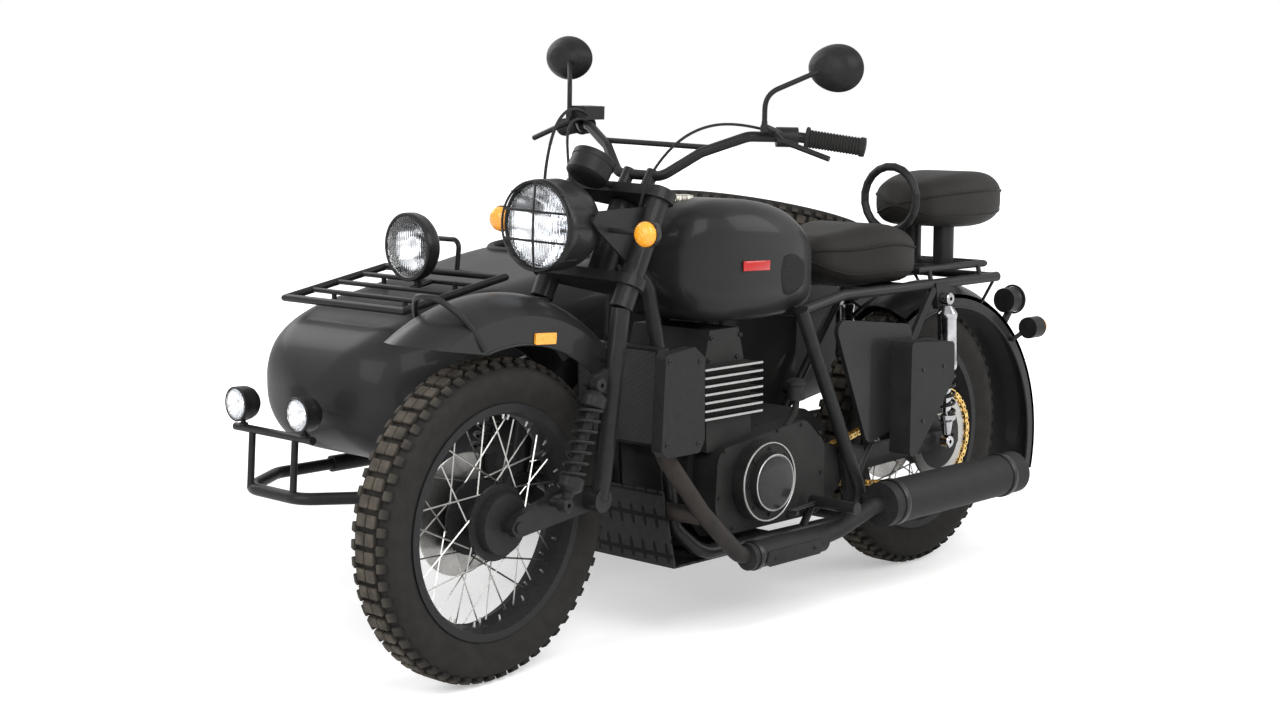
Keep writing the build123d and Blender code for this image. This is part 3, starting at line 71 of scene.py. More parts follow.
bpy.ops.object.camera_add(location=camera_place)
camera = bpy.context.object
camera.name = "photograph_camera"
camera.data.lens = camera_lens
camera.data.sensor_width = 36
camera.data.clip_end = 60
looks_along = Vector(
    (-cos(camera_yaw) * cos(camera_pitch), -sin(camera_yaw) * cos(camera_pitch), -sin(camera_pitch))
)
camera.rotation_euler = looks_along.to_track_quat("-Z", "Y").to_euler()
bpy.context.scene.camera = camera
bpy.context.scene.view_settings.view_transform = "Standard"


# Every finish is worked out by nodes. Socket lets Python's operators stand for Math nodes, and
# Finish holds one material with the shader that its values feed. The paints reflect little, as matt ones do.
satin_gloss = 0.11


class Socket:
    """An output of a shader node that can be added, multiplied and compared."""

    def __init__(self, finish, link):
        self.finish = finish
        self.link = link

    def math(self, operation, *others):
        return self.finish.node("Math", {"operation": operation}, dict(enumerate((self, *others))))

    def __add__(self, other):
        return self.math("ADD", other)

    def __sub__(self, other):
        return self.math("SUBTRACT", other)

    def __rsub__(self, other):
        return self.math("MULTIPLY_ADD", -1, other)

    def __mul__(self, other):
        return self.math("MULTIPLY", other)

    def __truediv__(self, other):
        return self.math("DIVIDE", other)

    def __gt__(self, other):
        return self.math("GREATER_THAN", other)

    def __lt__(self, other):
        return self.math("LESS_THAN", other)

    def sine(self):
        return self.math("SINE")

    def clamp(self):
        return self.finish.node("Clamp", {}, {"Value": self})

    __radd__ = __add__
    __rmul__ = __mul__


class Finish:
    """A material: its place() is a point in the row frame, in metres."""

    def __init__(self, name, roughness=0.5, metallic=0.0):
        self.material = bpy.data.materials.new(name)
        self.material.use_nodes = True
        self.tree = self.material.node_tree
        self.shader = self.tree.nodes["Principled BSDF"]
        self.shader.inputs["Roughness"].default_value = roughness
        self.shader.inputs["Metallic"].default_value = metallic
        self.shader.inputs["Specular IOR Level"].default_value = satin_gloss

    def node(self, kind, settings=None, sockets=None, output=0):
        node = self.tree.nodes.new("ShaderNode" + kind)
        for key, value in (settings or {}).items():
            setattr(node, key, value)
        for key, value in (sockets or {}).items():
            self.feed(node.inputs[key], value)
        return Socket(self, node.outputs[output])

    def feed(self, socket, value):
        if isinstance(value, Socket):
            self.tree.links.new(value.link, socket)
        elif isinstance(value, tuple) and len(value) == 3 and socket.type == "RGBA":
            socket.default_value = (*value, 1)
        elif isinstance(value, float) and socket.type == "RGBA":
            socket.default_value = (value, value, value, 1)
        else:
            socket.default_value = value

    def place(self):
        return self.node("TexCoord", output="Object")

    def axis(self, name):
        return self.node("SeparateXYZ", {}, {0: self.place()}, output=name)

    def noise(self, scale, detail):
        return self.node("TexNoise", {}, {"Vector": self.place(), "Scale": scale, "Detail": detail})

    def blend(self, share, first, second):
        return self.node("Mix", {"data_type": "RGBA"}, {0: share, 6: first, 7: second}, output=2)

    def bump(self, height, distance, strength=1.0):
        self.set(Normal=self.node("Bump", {}, {"Height": height, "Distance": distance, "Strength": strength}))

    def set(self, **values):
        for key, value in values.items():
            self.feed(self.shader.inputs[key.replace("_", " ")], value)


def mottled(name, dark, pale, grain, roughness, skin=None, depth=0.0002, coat_weight=0.0, metallic=0.0):
    """A finish in clouds of two close tones, rougher where it is paler, its skin or clouds in relief."""
    least, more = roughness
    finish = Finish(name, roughness=least, metallic=metallic)
    clouds = finish.noise(*grain)
    finish.set(
        Base_Color=finish.blend(clouds, dark, pale), Roughness=least + clouds * more, Coat_Weight=coat_weight,
    )
    finish.bump(finish.noise(*skin) if skin else clouds, depth)
    return finish


# The studio: a pale floor that keeps the shadow, and soft white light from above and from both sides.
floor_colour = 0.82
floor_lift = 0.38
floor_near, floor_far = 1.6, 4.0
world_strength = 0.5

bpy.ops.mesh.primitive_plane_add(size=60, location=(0, 0, cad_low[2]))
studio_floor = bpy.context.object
studio_floor.name = "studio_floor"
floor_finish = Finish("pale_floor", roughness=0.9)
floor_finish.set(Base_Color=floor_colour)
seen = floor_finish.node("LightPath", output="Is Camera Ray")
mirrored = floor_finish.node("LightPath", output="Is Glossy Ray")
passed = floor_finish.node("LightPath", output="Is Transmission Ray")
away = floor_finish.node("VectorMath", {"operation": "LENGTH"}, {0: floor_finish.place()}, output="Value")
far = ((away - floor_near) / (floor_far - floor_near)).clamp()
floor_finish.set(Emission_Color=floor_finish.blend(far, floor_lift, 1.0))
shown = (seen + mirrored + passed).clamp()
floor_finish.tree.links.new(shown.link, floor_finish.shader.inputs["Emission Strength"])
studio_floor.data.materials.append(floor_finish.material)

world = bpy.data.worlds.new("studio_white")
bpy.context.scene.world = world
world.use_nodes = True
backdrop = world.node_tree.nodes["Background"]
backdrop.inputs["Color"].default_value = (1, 1, 1, 1)
path = world.node_tree.nodes.new("ShaderNodeLightPath")
shown = world.node_tree.nodes.new("ShaderNodeMath")
shown.operation = "MAXIMUM"
world.node_tree.links.new(path.outputs["Is Camera Ray"], shown.inputs[0])
world.node_tree.links.new(path.outputs["Is Glossy Ray"], shown.inputs[1])
clear = world.node_tree.nodes.new("ShaderNodeMath")
clear.operation = "MAXIMUM"
world.node_tree.links.new(shown.outputs[0], clear.inputs[0])
world.node_tree.links.new(path.outputs["Is Transmission Ray"], clear.inputs[1])
see = world.node_tree.nodes.new("ShaderNodeMapRange")
see.inputs["To Min"].default_value = world_strength
see.inputs["To Max"].default_value = 1.0
world.node_tree.links.new(clear.outputs[0], see.inputs["Value"])
world.node_tree.links.new(see.outputs["Result"], backdrop.inputs["Strength"])

lamps = (
    ("key_light", (1.6, 3.4, 3.2), 3.0, 150),
    ("front_light", (4.2, 0.2, 2.2), 2.4, 90),
    ("side_light", (-2.6, 3.0, 2.4), 2.4, 80),
    ("far_light", (0.5, -3.6, 3.0), 2.6, 70),
)
for name, place, size, power in lamps:
    bpy.ops.object.light_add(type="AREA", location=place)
    lamp = bpy.context.object
    lamp.name = name
    lamp.data.size = size
    lamp.data.energy = power
    lamp.rotation_euler = (Vector((0, 0, 0.5)) - Vector(place)).to_track_quat("-Z", "Y").to_euler()


# Places on the machine are counted in squares of 10 mm from the rear axle, as its source counts them, and
# what the fork carries is built straight ahead and then turned as far as the parked fork is.
grid = 0.01
ahead, behind = Vector((1, 0, 0)), Vector((-1, 0, 0))
leftward, upward = Vector((0, 1, 0)), Vector((0, 0, 1))
park_turn = radians(5)
low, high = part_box("rear_tyre")
rear_axle = (Vector(low) + Vector(high)) / 2
steering = next(joint for joint in frame["joints"] if joint["name"] == "steering_turn")
head_point = Vector(steering["pos_m"])
head_axis = Vector(steering["axis"])
turn_fork = (
    Matrix.Translation(head_point) @ Matrix.Rotation(park_turn, 4, head_axis) @ Matrix.Translation(-head_point)
)


def spot(x, y, z):
    """A place on the grid, in the row frame."""
    return rear_axle + Vector((x, y, z)) * grid


def settle(piece, name, finish, body, *replaced, steered=False, smooth=35):
    """Writes a piece's place into its mesh, names it, finishes it and lets it ride on its body."""
    piece.name = name
    if steered:
        piece.matrix_world = turn_fork @ piece.matrix_world
    bpy.context.view_layer.update()
    piece.data.transform(piece.matrix_world)
    piece.matrix_world = Matrix.Identity(4)
    bpy.ops.object.select_all(action="DESELECT")
    piece.select_set(True)
    bpy.context.view_layer.objects.active = piece
    bpy.ops.object.shade_smooth_by_angle(angle=radians(smooth))
    piece.data.materials.clear()
    piece.data.materials.append(finish.material)
    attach(piece, body)
    if replaced:
        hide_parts(*replaced)
    piece.select_set(False)


def coat(finish, *names):
    """Gives CAD nodes their finish."""
    for name in names:
        piece = nodes[name]
        piece.data.materials.clear()
        piece.data.materials.append(finish.material)


def join(pieces):
    """Makes one piece of several."""
    bpy.ops.object.select_all(action="DESELECT")
    for piece in pieces:
        piece.select_set(True)
    bpy.context.view_layer.objects.active = pieces[0]
    bpy.ops.object.join()
    return bpy.context.object


def another(piece, place):
    """A copy of a piece, put somewhere else."""
    twin = piece.copy()
    twin.data = piece.data.copy()
    bpy.context.collection.objects.link(twin)
    twin.matrix_world = place
    return twin


def shaped(piece, kind, **values):
    """Puts a modifier on a piece and applies it."""
    change = piece.modifiers.new(kind.lower(), kind)
    for key, value in values.items():
        setattr(change, key, value)
    bpy.ops.object.select_all(action="DESELECT")
    piece.select_set(True)
    bpy.context.view_layer.objects.active = piece
    bpy.ops.object.modifier_apply(modifier=change.name)
    return piece


def soft_box(size, edge, steps):
    """A box with its edges taken off."""
    bpy.ops.mesh.primitive_cube_add(size=1)
    box = bpy.context.object
    box.scale = size
    bpy.ops.object.transform_apply(location=False, rotation=False, scale=True)
    return shaped(box, "BEVEL", width=edge, segments=steps)


def face_out():
    """Turns the faces of the piece in edit mode outwards and leaves that mode."""
    bpy.ops.mesh.select_all(action="SELECT")
    bpy.ops.mesh.normals_make_consistent(inside=False)
    bpy.ops.object.mode_set(mode="OBJECT")


# Tyres: black rubber, with a lighter brown painted highlight in patches on the tops of the tread's blocks.
# The carcass is one ring, and the blocks stand on it in pairs along the middle with smaller ones on each
# shoulder, moulded in one piece with it.
tread_rows = 58
carcass_profile = (
    (-0.0374, 0.2345), (-0.0374, 0.2440), (-0.0440, 0.2560), (-0.0515, 0.2740), (-0.0540, 0.2890),
    (-0.0520, 0.3030), (-0.0455, 0.3130), (-0.0300, 0.3205), (-0.0100, 0.3235), (0.0100, 0.3235),
    (0.0300, 0.3205), (0.0455, 0.3130), (0.0520, 0.3030), (0.0540, 0.2890), (0.0515, 0.2740),
    (0.0440, 0.2560), (0.0374, 0.2440), (0.0374, 0.2345),
)
# Each block: middle across, outer radius, width across, length round, lean on the shoulder, shift round
block_rows = (
    (-0.0123, 0.3338, 0.0225, 0.0250, 0, 0.0),
    (0.0123, 0.3338, 0.0225, 0.0250, 0, 0.0),
    (-0.0350, 0.3275, 0.0185, 0.0190, 30, 0.5),
    (0.0350, 0.3275, 0.0185, 0.0190, -30, 0.5),
)
block_height = 0.014
merge_reach = 0.00002


def form(rows, columns, point):
    """A grid of faces, each corner put where point(along, round) says, both from 0 to 1."""
    bpy.ops.object.select_all(action="DESELECT")
    bpy.ops.mesh.primitive_grid_add(x_subdivisions=rows, y_subdivisions=columns, size=1)
    piece = bpy.context.object
    for corner in piece.data.vertices:
        corner.co = point(
            round((corner.co.x + 0.5) * rows) / rows, round((corner.co.y + 0.5) * columns) / columns,
        )
    bpy.ops.object.mode_set(mode="EDIT")
    bpy.ops.mesh.select_all(action="SELECT")
    bpy.ops.mesh.remove_doubles(threshold=merge_reach)
    face_out()
    return piece


def along_line(points, share):
    """A point on a polyline of evenly counted points."""
    step = min(share * (len(points) - 1), len(points) - 1.000001)
    first, rest = int(step), step - int(step)
    return [a + (b - a) * rest for a, b in zip(points[first], points[first + 1])]


def carcass_point(turn, share):
    across, radius = along_line(carcass_profile + carcass_profile[:1], share)
    return Vector((radius * cos(2 * pi * turn), across, radius * sin(2 * pi * turn)))


carcass = form(120, len(carcass_profile), carcass_point)
blocks = []
for across, radius, width, length, lean, shift in block_rows:
    block = soft_box((length, width, block_height), 0.0018, 1)
    turn = 2 * pi * shift / tread_rows
    block.matrix_world = (
        Matrix.Rotation(-turn, 4, "Y")
        @ Matrix.Translation((0, across, radius - block_height / 2))
        @ Matrix.Rotation(radians(lean), 4, "X")
    )
    blocks.append(block)
tread = join(blocks)
bpy.ops.object.transform_apply(location=True, rotation=True, scale=True)
bpy.ops.object.mode_set(mode="EDIT")
bpy.ops.mesh.select_all(action="SELECT")
bpy.ops.mesh.spin(
    steps=tread_rows - 1, dupli=True, angle=2 * pi * (tread_rows - 1) / tread_rows,
    center=(0, 0, 0), axis=(0, 1, 0),
)
bpy.ops.object.mode_set(mode="OBJECT")
tyre_form = join([carcass, tread])


def wheel_frame(node):
    """Turns a wheel built upright at the origin to where a CAD tyre stands."""
    low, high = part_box(node)
    centre = (Vector(low) + Vector(high)) / 2
    if node == "front_tyre":
        return turn_fork @ Matrix.Translation(spot(145, 0, 0))
    if node == "spare_tyre":
        tilt = radians(14)
        axle = Vector((-sin(tilt), 0, cos(tilt)))
        return Matrix.Translation(centre) @ leftward.rotation_difference(axle).to_matrix().to_4x4()
    return Matrix.Translation(centre)


def wheel_places(finish, node):
    """Distance from a wheel's axle and distance along it, as values of a finish."""
    frame_of = wheel_frame(node)
    axle = frame_of.to_3x3() @ leftward
    offset = finish.node(
        "VectorMath", {"operation": "SUBTRACT"}, {0: finish.place(), 1: tuple(frame_of.translation)}
    )
    along = finish.node("VectorMath", {"operation": "DOT_PRODUCT"}, {0: offset, 1: tuple(axle)}, output="Value")
    crossed = finish.node("VectorMath", {"operation": "CROSS_PRODUCT"}, {0: offset, 1: tuple(axle)})
    away = finish.node("VectorMath", {"operation": "LENGTH"}, {0: crossed}, output="Value")
    return away, along


for node, body in (
    ("front_tyre", "front_wheel"), ("rear_tyre", "rear_wheel"),
    ("sidecar_tyre", "sidecar_wheel"), ("spare_tyre", "trunk"),
):
    rubber = Finish(node + "_rubber", roughness=0.8)
    away, along = wheel_places(rubber, node)
    # The outermost faces, the tops of the tread's blocks, are painted a lighter brown in patches: a painted
    # highlight.
    tread_tops = (away - 0.3215) * 70
    patch = rubber.noise(38, 6)
    painted_highlight = tread_tops.clamp() * (patch * 1.5 - 0.25)
    side_tone = rubber.blend(patch, (0.011, 0.0105, 0.010), (0.026, 0.025, 0.023))
    rubber.set(Base_Color=rubber.blend(painted_highlight.clamp(), side_tone, (0.115, 0.098, 0.078)))
    rubber.bump(rubber.noise(420, 3) * 0.6 + (away * 900).sine() * 0.12, 0.0006)
    settle(another(tyre_form, wheel_frame(node)), node + "_with_tread", rubber, body, node)
bpy.data.objects.remove(tyre_form)


# Rims: black painted rims with silver spokes and a dark hub; a bare steel brake disc stands on the right
# of the hub, and the rear wheel has its sprocket on the left.
for node in ("front", "rear", "sidecar", "spare"):
    laced = Finish(node + "_wheel_metal", roughness=0.35)
    away, along = wheel_places(laced, node + "_tyre")
    if node == "sidecar":
        along = along * -1
    spoke = (away > 0.083) * (away < 0.2122) * (along > -0.055)
    disc = (along < -0.0615) * (away > 0.052)
    grain = laced.noise(160, 4)
    metal = (spoke + disc).clamp()
    dark = laced.blend(grain, (0.010, 0.010, 0.011), (0.026, 0.026, 0.027))
    bright = laced.blend(grain, (0.24, 0.235, 0.225), (0.42, 0.415, 0.40))
    laced.set(
        Base_Color=laced.blend(metal, dark, bright),
        Metallic=metal * 0.95,
        Roughness=0.42 - metal * 0.16 + grain * 0.08,
    )
    laced.bump(grain, 0.0002)
    coat(laced, node + "_rim")

nipple_steel = mottled(
    "nipple_steel", (0.30, 0.30, 0.29), (0.55, 0.55, 0.53), (300, 3), (0.3, 0), depth=0.0001, metallic=0.9,
)
nipple_count, nipple_radius, rim_bed = 36, 0.0034, 0.2128
nipples = []
for count in range(nipple_count):
    turn = 2 * pi * count / nipple_count
    bpy.ops.mesh.primitive_cone_add(
        vertices=6, radius1=nipple_radius, radius2=nipple_radius * 0.55, depth=0.011,
    )
    nipple = bpy.context.object
    nipple.matrix_world = (
        Matrix.Rotation(turn, 4, "Y")
        @ Matrix.Translation((0, 0.010 * (1 if count % 2 else -1), rim_bed))
        @ Matrix.Rotation(pi, 4, "X")
    )
    nipples.append(nipple)
nipple_ring = join(nipples)
bpy.ops.object.transform_apply(location=True, rotation=True, scale=True)
for node, body in (
    ("front", "front_wheel"), ("rear", "rear_wheel"), ("sidecar", "sidecar_wheel"), ("spare", "trunk"),
):
    settle(another(nipple_ring, wheel_frame(node + "_tyre")), node + "_spoke_nipples", nipple_steel, body)
bpy.data.objects.remove(nipple_ring)


# Fuel tank: pressed steel in satin black lacquer, welded along its lower seam, with a ribbed rubber pad for
# each knee, a bare red plaque on each side and an old bright filler cap that screws down.
tank_stations = (
    (50.8, 38.0, 51.0, 8.5, 4.0), (55.0, 36.4, 55.2, 12.0, 5.5), (65.0, 35.6, 60.3, 15.6, 7.5),
    (80.0, 35.8, 62.6, 16.5, 7.5), (93.0, 37.5, 61.3, 13.8, 6.0), (99.5, 45.0, 54.5, 8.5, 4.0),
)


def station_at(stations, x, straight_to=-999):
    """Low edge, high edge, half width and corner at a place x, smooth through the stations."""
    last = len(stations) - 2
    step = min(max([0] + [i for i, station in enumerate(stations) if station[0] <= x]), last)
    before, start, end, after = (stations[min(max(step + i, 0), last + 1)] for i in (-1, 0, 1, 2))
    width = end[0] - start[0]
    share = (x - start[0]) / width
    if x < straight_to:
        return [a + (b - a) * share for a, b in zip(start[1:], end[1:])]
    if start[0] <= straight_to:
        before = start
    values = []
    for b, s, e, a in zip(before[1:], start[1:], end[1:], after[1:]):
        leave = (e - b) / (end[0] - before[0]) * width
        reach = (a - s) / (after[0] - start[0]) * width
        cube, square = share**3, share**2
        values.append(
            (2 * cube - 3 * square + 1) * s + (cube - 2 * square + share) * leave
            + (3 * square - 2 * cube) * e + (cube - square) * reach
        )
    return values


def outline_point(half, rise, corner, share):
    """A point on an upright rounded rectangle, from the middle of its top round to its left."""
    flat, side, arc = half - corner, rise - corner, pi * corner / 2
    walk = share * 4 * (flat + side + arc)
    sides = (
        (flat, flat, side), (2 * side, side, flat), (2 * flat, flat, side), (2 * side, side, flat),
        (flat, 0, side),
    )
    for turn, (run, reach, lift) in enumerate(sides):
        start = 0 if turn == 0 else -reach if turn < 4 else -flat
        angle = -pi / 2 * turn
        if walk <= run:
            x, z = start + walk, lift + corner
            return x * cos(angle) - z * sin(angle), x * sin(angle) + z * cos(angle)
        walk -= run
        if walk <= arc and turn < 4:
            bend = walk / corner
            x, z = reach + corner * sin(bend), lift + corner * cos(bend)
            return x * cos(angle) - z * sin(angle), x * sin(angle) + z * cos(angle)
        walk -= arc
    return 0.0, rise


def shell(stations, rows, columns, middle=0.0, ends=(2.0, 2.0), straight_to=-999, waist=None):
    """A closed form through rounded sections: its two ends close over the given lengths."""
    first, last = stations[0][0], stations[-1][0]

    def point(along, share):
        x = first + (last - first) * (1 - cos(pi * along)) / 2
        low, high, half, corner = station_at(stations, x, straight_to)
        close = 1.0
        for gap, end in ((x - first, ends[0]), (last - x, ends[1])):
            if gap < end:
                close *= sqrt(max(0.0, 1 - (1 - gap / end) ** 2))
        rise = (high - low) / 2
        across, up = outline_point(half, rise, min(corner, half, rise) * 0.999, share)
        if waist:
            across *= waist(up / rise)
        return spot(x, middle + across * close, (low + high) / 2 + up * close)

    return form(rows, columns, point)


tank_paint = mottled(
    "tank_satin_black", (0.010, 0.010, 0.0105), (0.020, 0.020, 0.0205), (6, 5), (0.36, 0.10), (900, 2),
    0.00012, coat_weight=0.08,
)
tank = shell(tank_stations, 60, 72, ends=(2.5, 3.0))
settle(tank, "tank_shell", tank_paint, "chassis", "fuel_tank")

pad_middle, pad_reach, pad_rise, pad_sheet = (65.4, 45.6), 5.6, 5.4, 0.45
pad_rubber = Finish("knee_pad_rubber", roughness=0.7)
at_x, at_z = pad_rubber.axis("X"), pad_rubber.axis("Z")
one_way, other_way = ((at_x + at_z) * 900).sine(), ((at_x - at_z) * 900).sine()
pad_rubber.set(Base_Color=pad_rubber.blend(one_way * other_way > 0.0, 0.010, 0.028))
pad_rubber.bump(one_way * other_way, 0.0012)
for hand in (1, -1):

    def pad_point(along, share, hand=hand):
        a, b = 2 * along - 1, 2 * share - 1
        x = pad_middle[0] + pad_reach * a * sqrt(1 - b * b * 0.42)
        z = pad_middle[1] + pad_rise * b * sqrt(1 - a * a * 0.42) * (0.82 + 0.18 * a)
        low, high, half, corner = station_at(tank_stations, x)
        over = max(0.0, abs(z - (low + high) / 2) - ((high - low) / 2 - corner))
        y = half - corner + sqrt(max(0.0, corner * corner - over * over))
        lift = pad_sheet * (1 - max(abs(a), abs(b)) ** 10)
        return spot(x, hand * (y + lift - 0.05), z)

    pad = shaped(form(30, 30, pad_point), "SOLIDIFY", thickness=0.002, offset=-1)
    settle(pad, f"knee_pad_{'left' if hand > 0 else 'right'}", pad_rubber, "chassis")

plaque_size, plaque_lean = (0.088, 0.0035, 0.022), radians(-2)
plaque_paint = Finish("plaque_red_enamel", roughness=0.3)
plaque_paint.set(
    Base_Color=plaque_paint.blend(plaque_paint.noise(240, 3), (0.30, 0.006, 0.006), (0.48, 0.016, 0.012)),
    Coat_Weight=0.5,
)
for hand in (1, -1):
    plaque = soft_box(plaque_size, 0.0015, 2)
    plaque_place = spot(79.4, hand * 16.55, 48.3)
    plaque.matrix_world = Matrix.Translation(plaque_place) @ Matrix.Rotation(plaque_lean, 4, "Y")
    settle(plaque, f"plaque_{'left' if hand > 0 else 'right'}", plaque_paint, "chassis")

cap_radius, cap_height, cap_notches, cap_knurl = 0.036, 0.014, 18, 0.04
cap_profile = (
    (0, 1.0), (0.55, 1.0), (0.62, 0.82), (0.78, 0.82), (0.86, 1.0), (0.97, 0.9), (1.0, 0.6), (1.0, 0.0),
    (1.1, 0.0), (1.1, -0.9), (0, -0.9),
)
cap_metal = mottled(
    "filler_cap_metal", (0.30, 0.27, 0.22), (0.62, 0.60, 0.55), (90, 6), (0.28, 0.25), depth=0.0004,
    metallic=0.9,
)


def cap_point(along, share):
    turn = 2 * pi * share
    radius, rise = along_line(cap_profile, along)
    if 0.9 < radius <= 1.0 and rise > 0:
        radius += cap_knurl * (1 if sin(turn * cap_notches) > 0 else -1)
    return spot(87.2, 0, 62.0) + Vector(
        (radius * cap_radius * cos(turn), radius * cap_radius * sin(turn), rise * cap_height)
    )


settle(form(20, 108, cap_point), "filler_cap", cap_metal, "chassis")


# Fenders: pressed sheet with a round crown and deep skirts, satin black, each with a rolled wire edge.
fender_wall = 0.3
fenders = (
    ("front_fender", (145.0, 0, 0), 46.2, 7.8, 9.6, 54, 84, True, "steering"),
    ("rear_fender", (-6.0, 0, -4.9), 43.3, 8.5, 6.5, 62, 132, False, "chassis"),
    ("sidecar_fender", (27.0, -115.0, 0), 40.0, 8.5, 6.0, 15, 150, False, "chassis"),
)
nose_cut = ((185.0, -5.0), (185.0, 39.6), (170.2, 38.3), (154.0, 35.6), (154.0, -5.0))
fender_paint = mottled(
    "fender_satin_black", (0.010, 0.010, 0.0105), (0.022, 0.022, 0.0225), (9, 5), (0.32, 0.12), (800, 2),
    0.00012, coat_weight=0.1,
)


def slab(corners, move):
    """A block: a face with the given corners, drawn out by a move."""
    bpy.ops.object.select_all(action="DESELECT")
    bpy.ops.mesh.primitive_circle_add(vertices=len(corners), radius=1, fill_type="NGON")
    block = bpy.context.object
    for corner, place in zip(block.data.vertices, corners):
        corner.co = place
    bpy.ops.object.mode_set(mode="EDIT")
    bpy.ops.mesh.select_all(action="SELECT")
    bpy.ops.mesh.extrude_region_move(TRANSFORM_OT_translate={"value": move})
    face_out()
    return block


def prism(outline, left, right):
    """A block with an outline seen from the side, on the grid, between two places across."""
    return slab([spot(x, left, z) for x, z in outline], (0, (right - left) * grid, 0))


def cut(piece, cutter):
    """Takes one closed piece out of another."""
    shaped(piece, "BOOLEAN", object=cutter, operation="DIFFERENCE", solver="EXACT")
    bpy.data.objects.remove(cutter)


for name, centre, crown, half, depth, start, turn, nosed, body in fenders:
    def sheet_section(inner):
        edge, top = half - inner, crown - inner
        rise = half / 2
        curve = (edge * edge + rise * rise) / (2 * rise)
        spread = atan2(edge, curve - rise)
        outer = [(-edge, crown - depth), (-edge, crown - depth / 2)]
        outer += [
            (curve * sin(spread * k / 8), top - curve + curve * cos(spread * k / 8))
            for k in range(-8, 9)
        ]
        return outer + [(edge, crown - depth / 2), (edge, crown - depth)]

    loop = sheet_section(0) + sheet_section(fender_wall)[::-1]
    loop = loop + loop[:1]

    def fender_point(along, share):
        across, away = loop[round(share * (len(loop) - 1))]
        angle = radians(start + turn * along)
        return spot(centre[0] + away * cos(angle), centre[1] + across, centre[2] + away * sin(angle))

    piece = form(72, len(loop) - 1, fender_point)
    for end in (start, start + turn):
        square_off = Vector((-sin(radians(end)), 0, cos(radians(end))))
        bpy.ops.object.mode_set(mode="EDIT")
        bpy.ops.mesh.select_mode(type="VERT")
        bpy.ops.mesh.select_all(action="DESELECT")
        bpy.ops.object.mode_set(mode="OBJECT")
        for corner in piece.data.vertices:
            offset = corner.co - spot(*centre)
            near_end = offset.dot(Vector((cos(radians(end)), 0, sin(radians(end))))) > 0
            corner.select = near_end and abs(offset.dot(square_off)) < 0.0001
        bpy.ops.object.mode_set(mode="EDIT")
        bpy.ops.mesh.edge_face_add()
        bpy.ops.object.mode_set(mode="OBJECT")
    bpy.ops.object.mode_set(mode="EDIT")
    face_out()
    if nosed:
        cut(piece, prism(nose_cut, -20, 20))
    settle(piece, name + "_sheet", fender_paint, body, name, steered=nosed)


# Sidecar body: one sheet-metal shell with a rounded nose, an open cockpit and a trunk behind it, both cut
# through its deck, satin black, with a soft roll round the cockpit's edge.
tub_middle = -64.5
tub_wall = 1.2
trunk_slope = radians(14)
tub_stations = (
    (-45.0, 8.0, 31.65, 28.5, 7.0), (23.0, -1.4, 48.6, 31.0, 7.0), (47.0, -1.4, 47.6, 31.0, 8.5),
    (70.0, -1.4, 45.6, 31.0, 10.5), (90.0, -1.3, 42.3, 30.9, 12.5), (108.0, -0.6, 39.0, 30.4, 14.0),
    (122.0, 1.2, 36.4, 28.6, 13.5), (133.0, 5.2, 32.0, 24.0, 11.5), (141.0, 12.0, 25.5, 14.0, 6.5),
)
cockpit_middle, cockpit_reach, cockpit_half, cockpit_corner = 47.0, 21.0, 23.5, 9.0
trunk_middle, trunk_reach, trunk_half, trunk_corner = -8.97, 25.2, 21.5, 5.0


def inset(stations, wall):
    """The same sections drawn in by the wall all round."""
    return tuple(
        (x, low + wall, high - wall, half - wall, corner - wall)
        for x, low, high, half, corner in stations
    )


def rounded_loop(reach, half, corner, count=64):
    """Places on a rounded rectangle seen from above, evenly counted."""
    return [outline_point(half, reach, corner, step / count) for step in range(count)]


def well(middle, reach, half, corner, low, high):
    """A block with the plan of a rounded rectangle, for cutting an opening through the deck."""
    loop = rounded_loop(reach, half, corner)
    corners = [spot(middle + along, tub_middle + across, low) for across, along in loop]
    return slab(corners, (0, 0, (high - low) * grid))


tub_paint = mottled(
    "sidecar_satin_black", (0.011, 0.011, 0.0115), (0.021, 0.021, 0.0215), (5, 5), (0.38, 0.12), (850, 2),
    0.00013, coat_weight=0.06,
)
tub = shell(tub_stations, 96, 88, middle=tub_middle, ends=(3.5, 4.5), straight_to=23.0)
cabin = shell(
    ((23.2, *inset(tub_stations, tub_wall)[1][1:]), *inset(tub_stations, tub_wall)[2:-1]),
    50, 72, middle=tub_middle, ends=(0.8, 4.0),
)
tail, bulkhead = inset(tub_stations, tub_wall)[:2]
room = shell(
    ((tail[0] + 1.2, *tail[1:]), (bulkhead[0] - 1.4, *bulkhead[1:])),
    20, 72, middle=tub_middle, ends=(1.5, 0.8), straight_to=23.0,
)
cut(tub, cabin)
cut(tub, room)
cut(tub, well(cockpit_middle, cockpit_reach, cockpit_half, cockpit_corner, 30.0, 60.0))
cut(tub, well(trunk_middle, trunk_reach, trunk_half, trunk_corner, 24.0, 60.0))
settle(tub, "tub_shell", tub_paint, "chassis", "sidecar_body", smooth=30)


def sweep(path, radius, columns=10, loop=False):
    """A round bar along closely spaced points, closed at its ends or into a loop."""
    path = [Vector(point) for point in path]
    count = len(path)
    steps = []
    for place in range(count):
        ahead = path[(place + 1) % count] if loop else path[min(place + 1, count - 1)]
        behind = path[place - 1] if loop else path[max(place - 1, 0)]
        steps.append((ahead - behind).normalized())
    lean = steps[0].orthogonal().normalized()
    leans = []
    for step in steps:
        lean = (lean - step * lean.dot(step)).normalized()
        leans.append(lean)
    order = [*range(count), 0] if loop else [0, *range(count), count - 1]

    def point(along, share):
        row = round(along * (len(order) - 1))
        place = order[row]
        size = radius if loop or 0 < row < len(order) - 1 else 0
        up = leans[place]
        turned = up * cos(2 * pi * share) + steps[place].cross(up) * sin(2 * pi * share)
        return path[place] + turned * size

    return form(len(order) - 1, columns, point)


def rod(start, end, radius, columns):
    """A straight bar between two places."""
    return sweep([start, start.lerp(end, 0.5), end], radius, columns)


bend_steps = 8


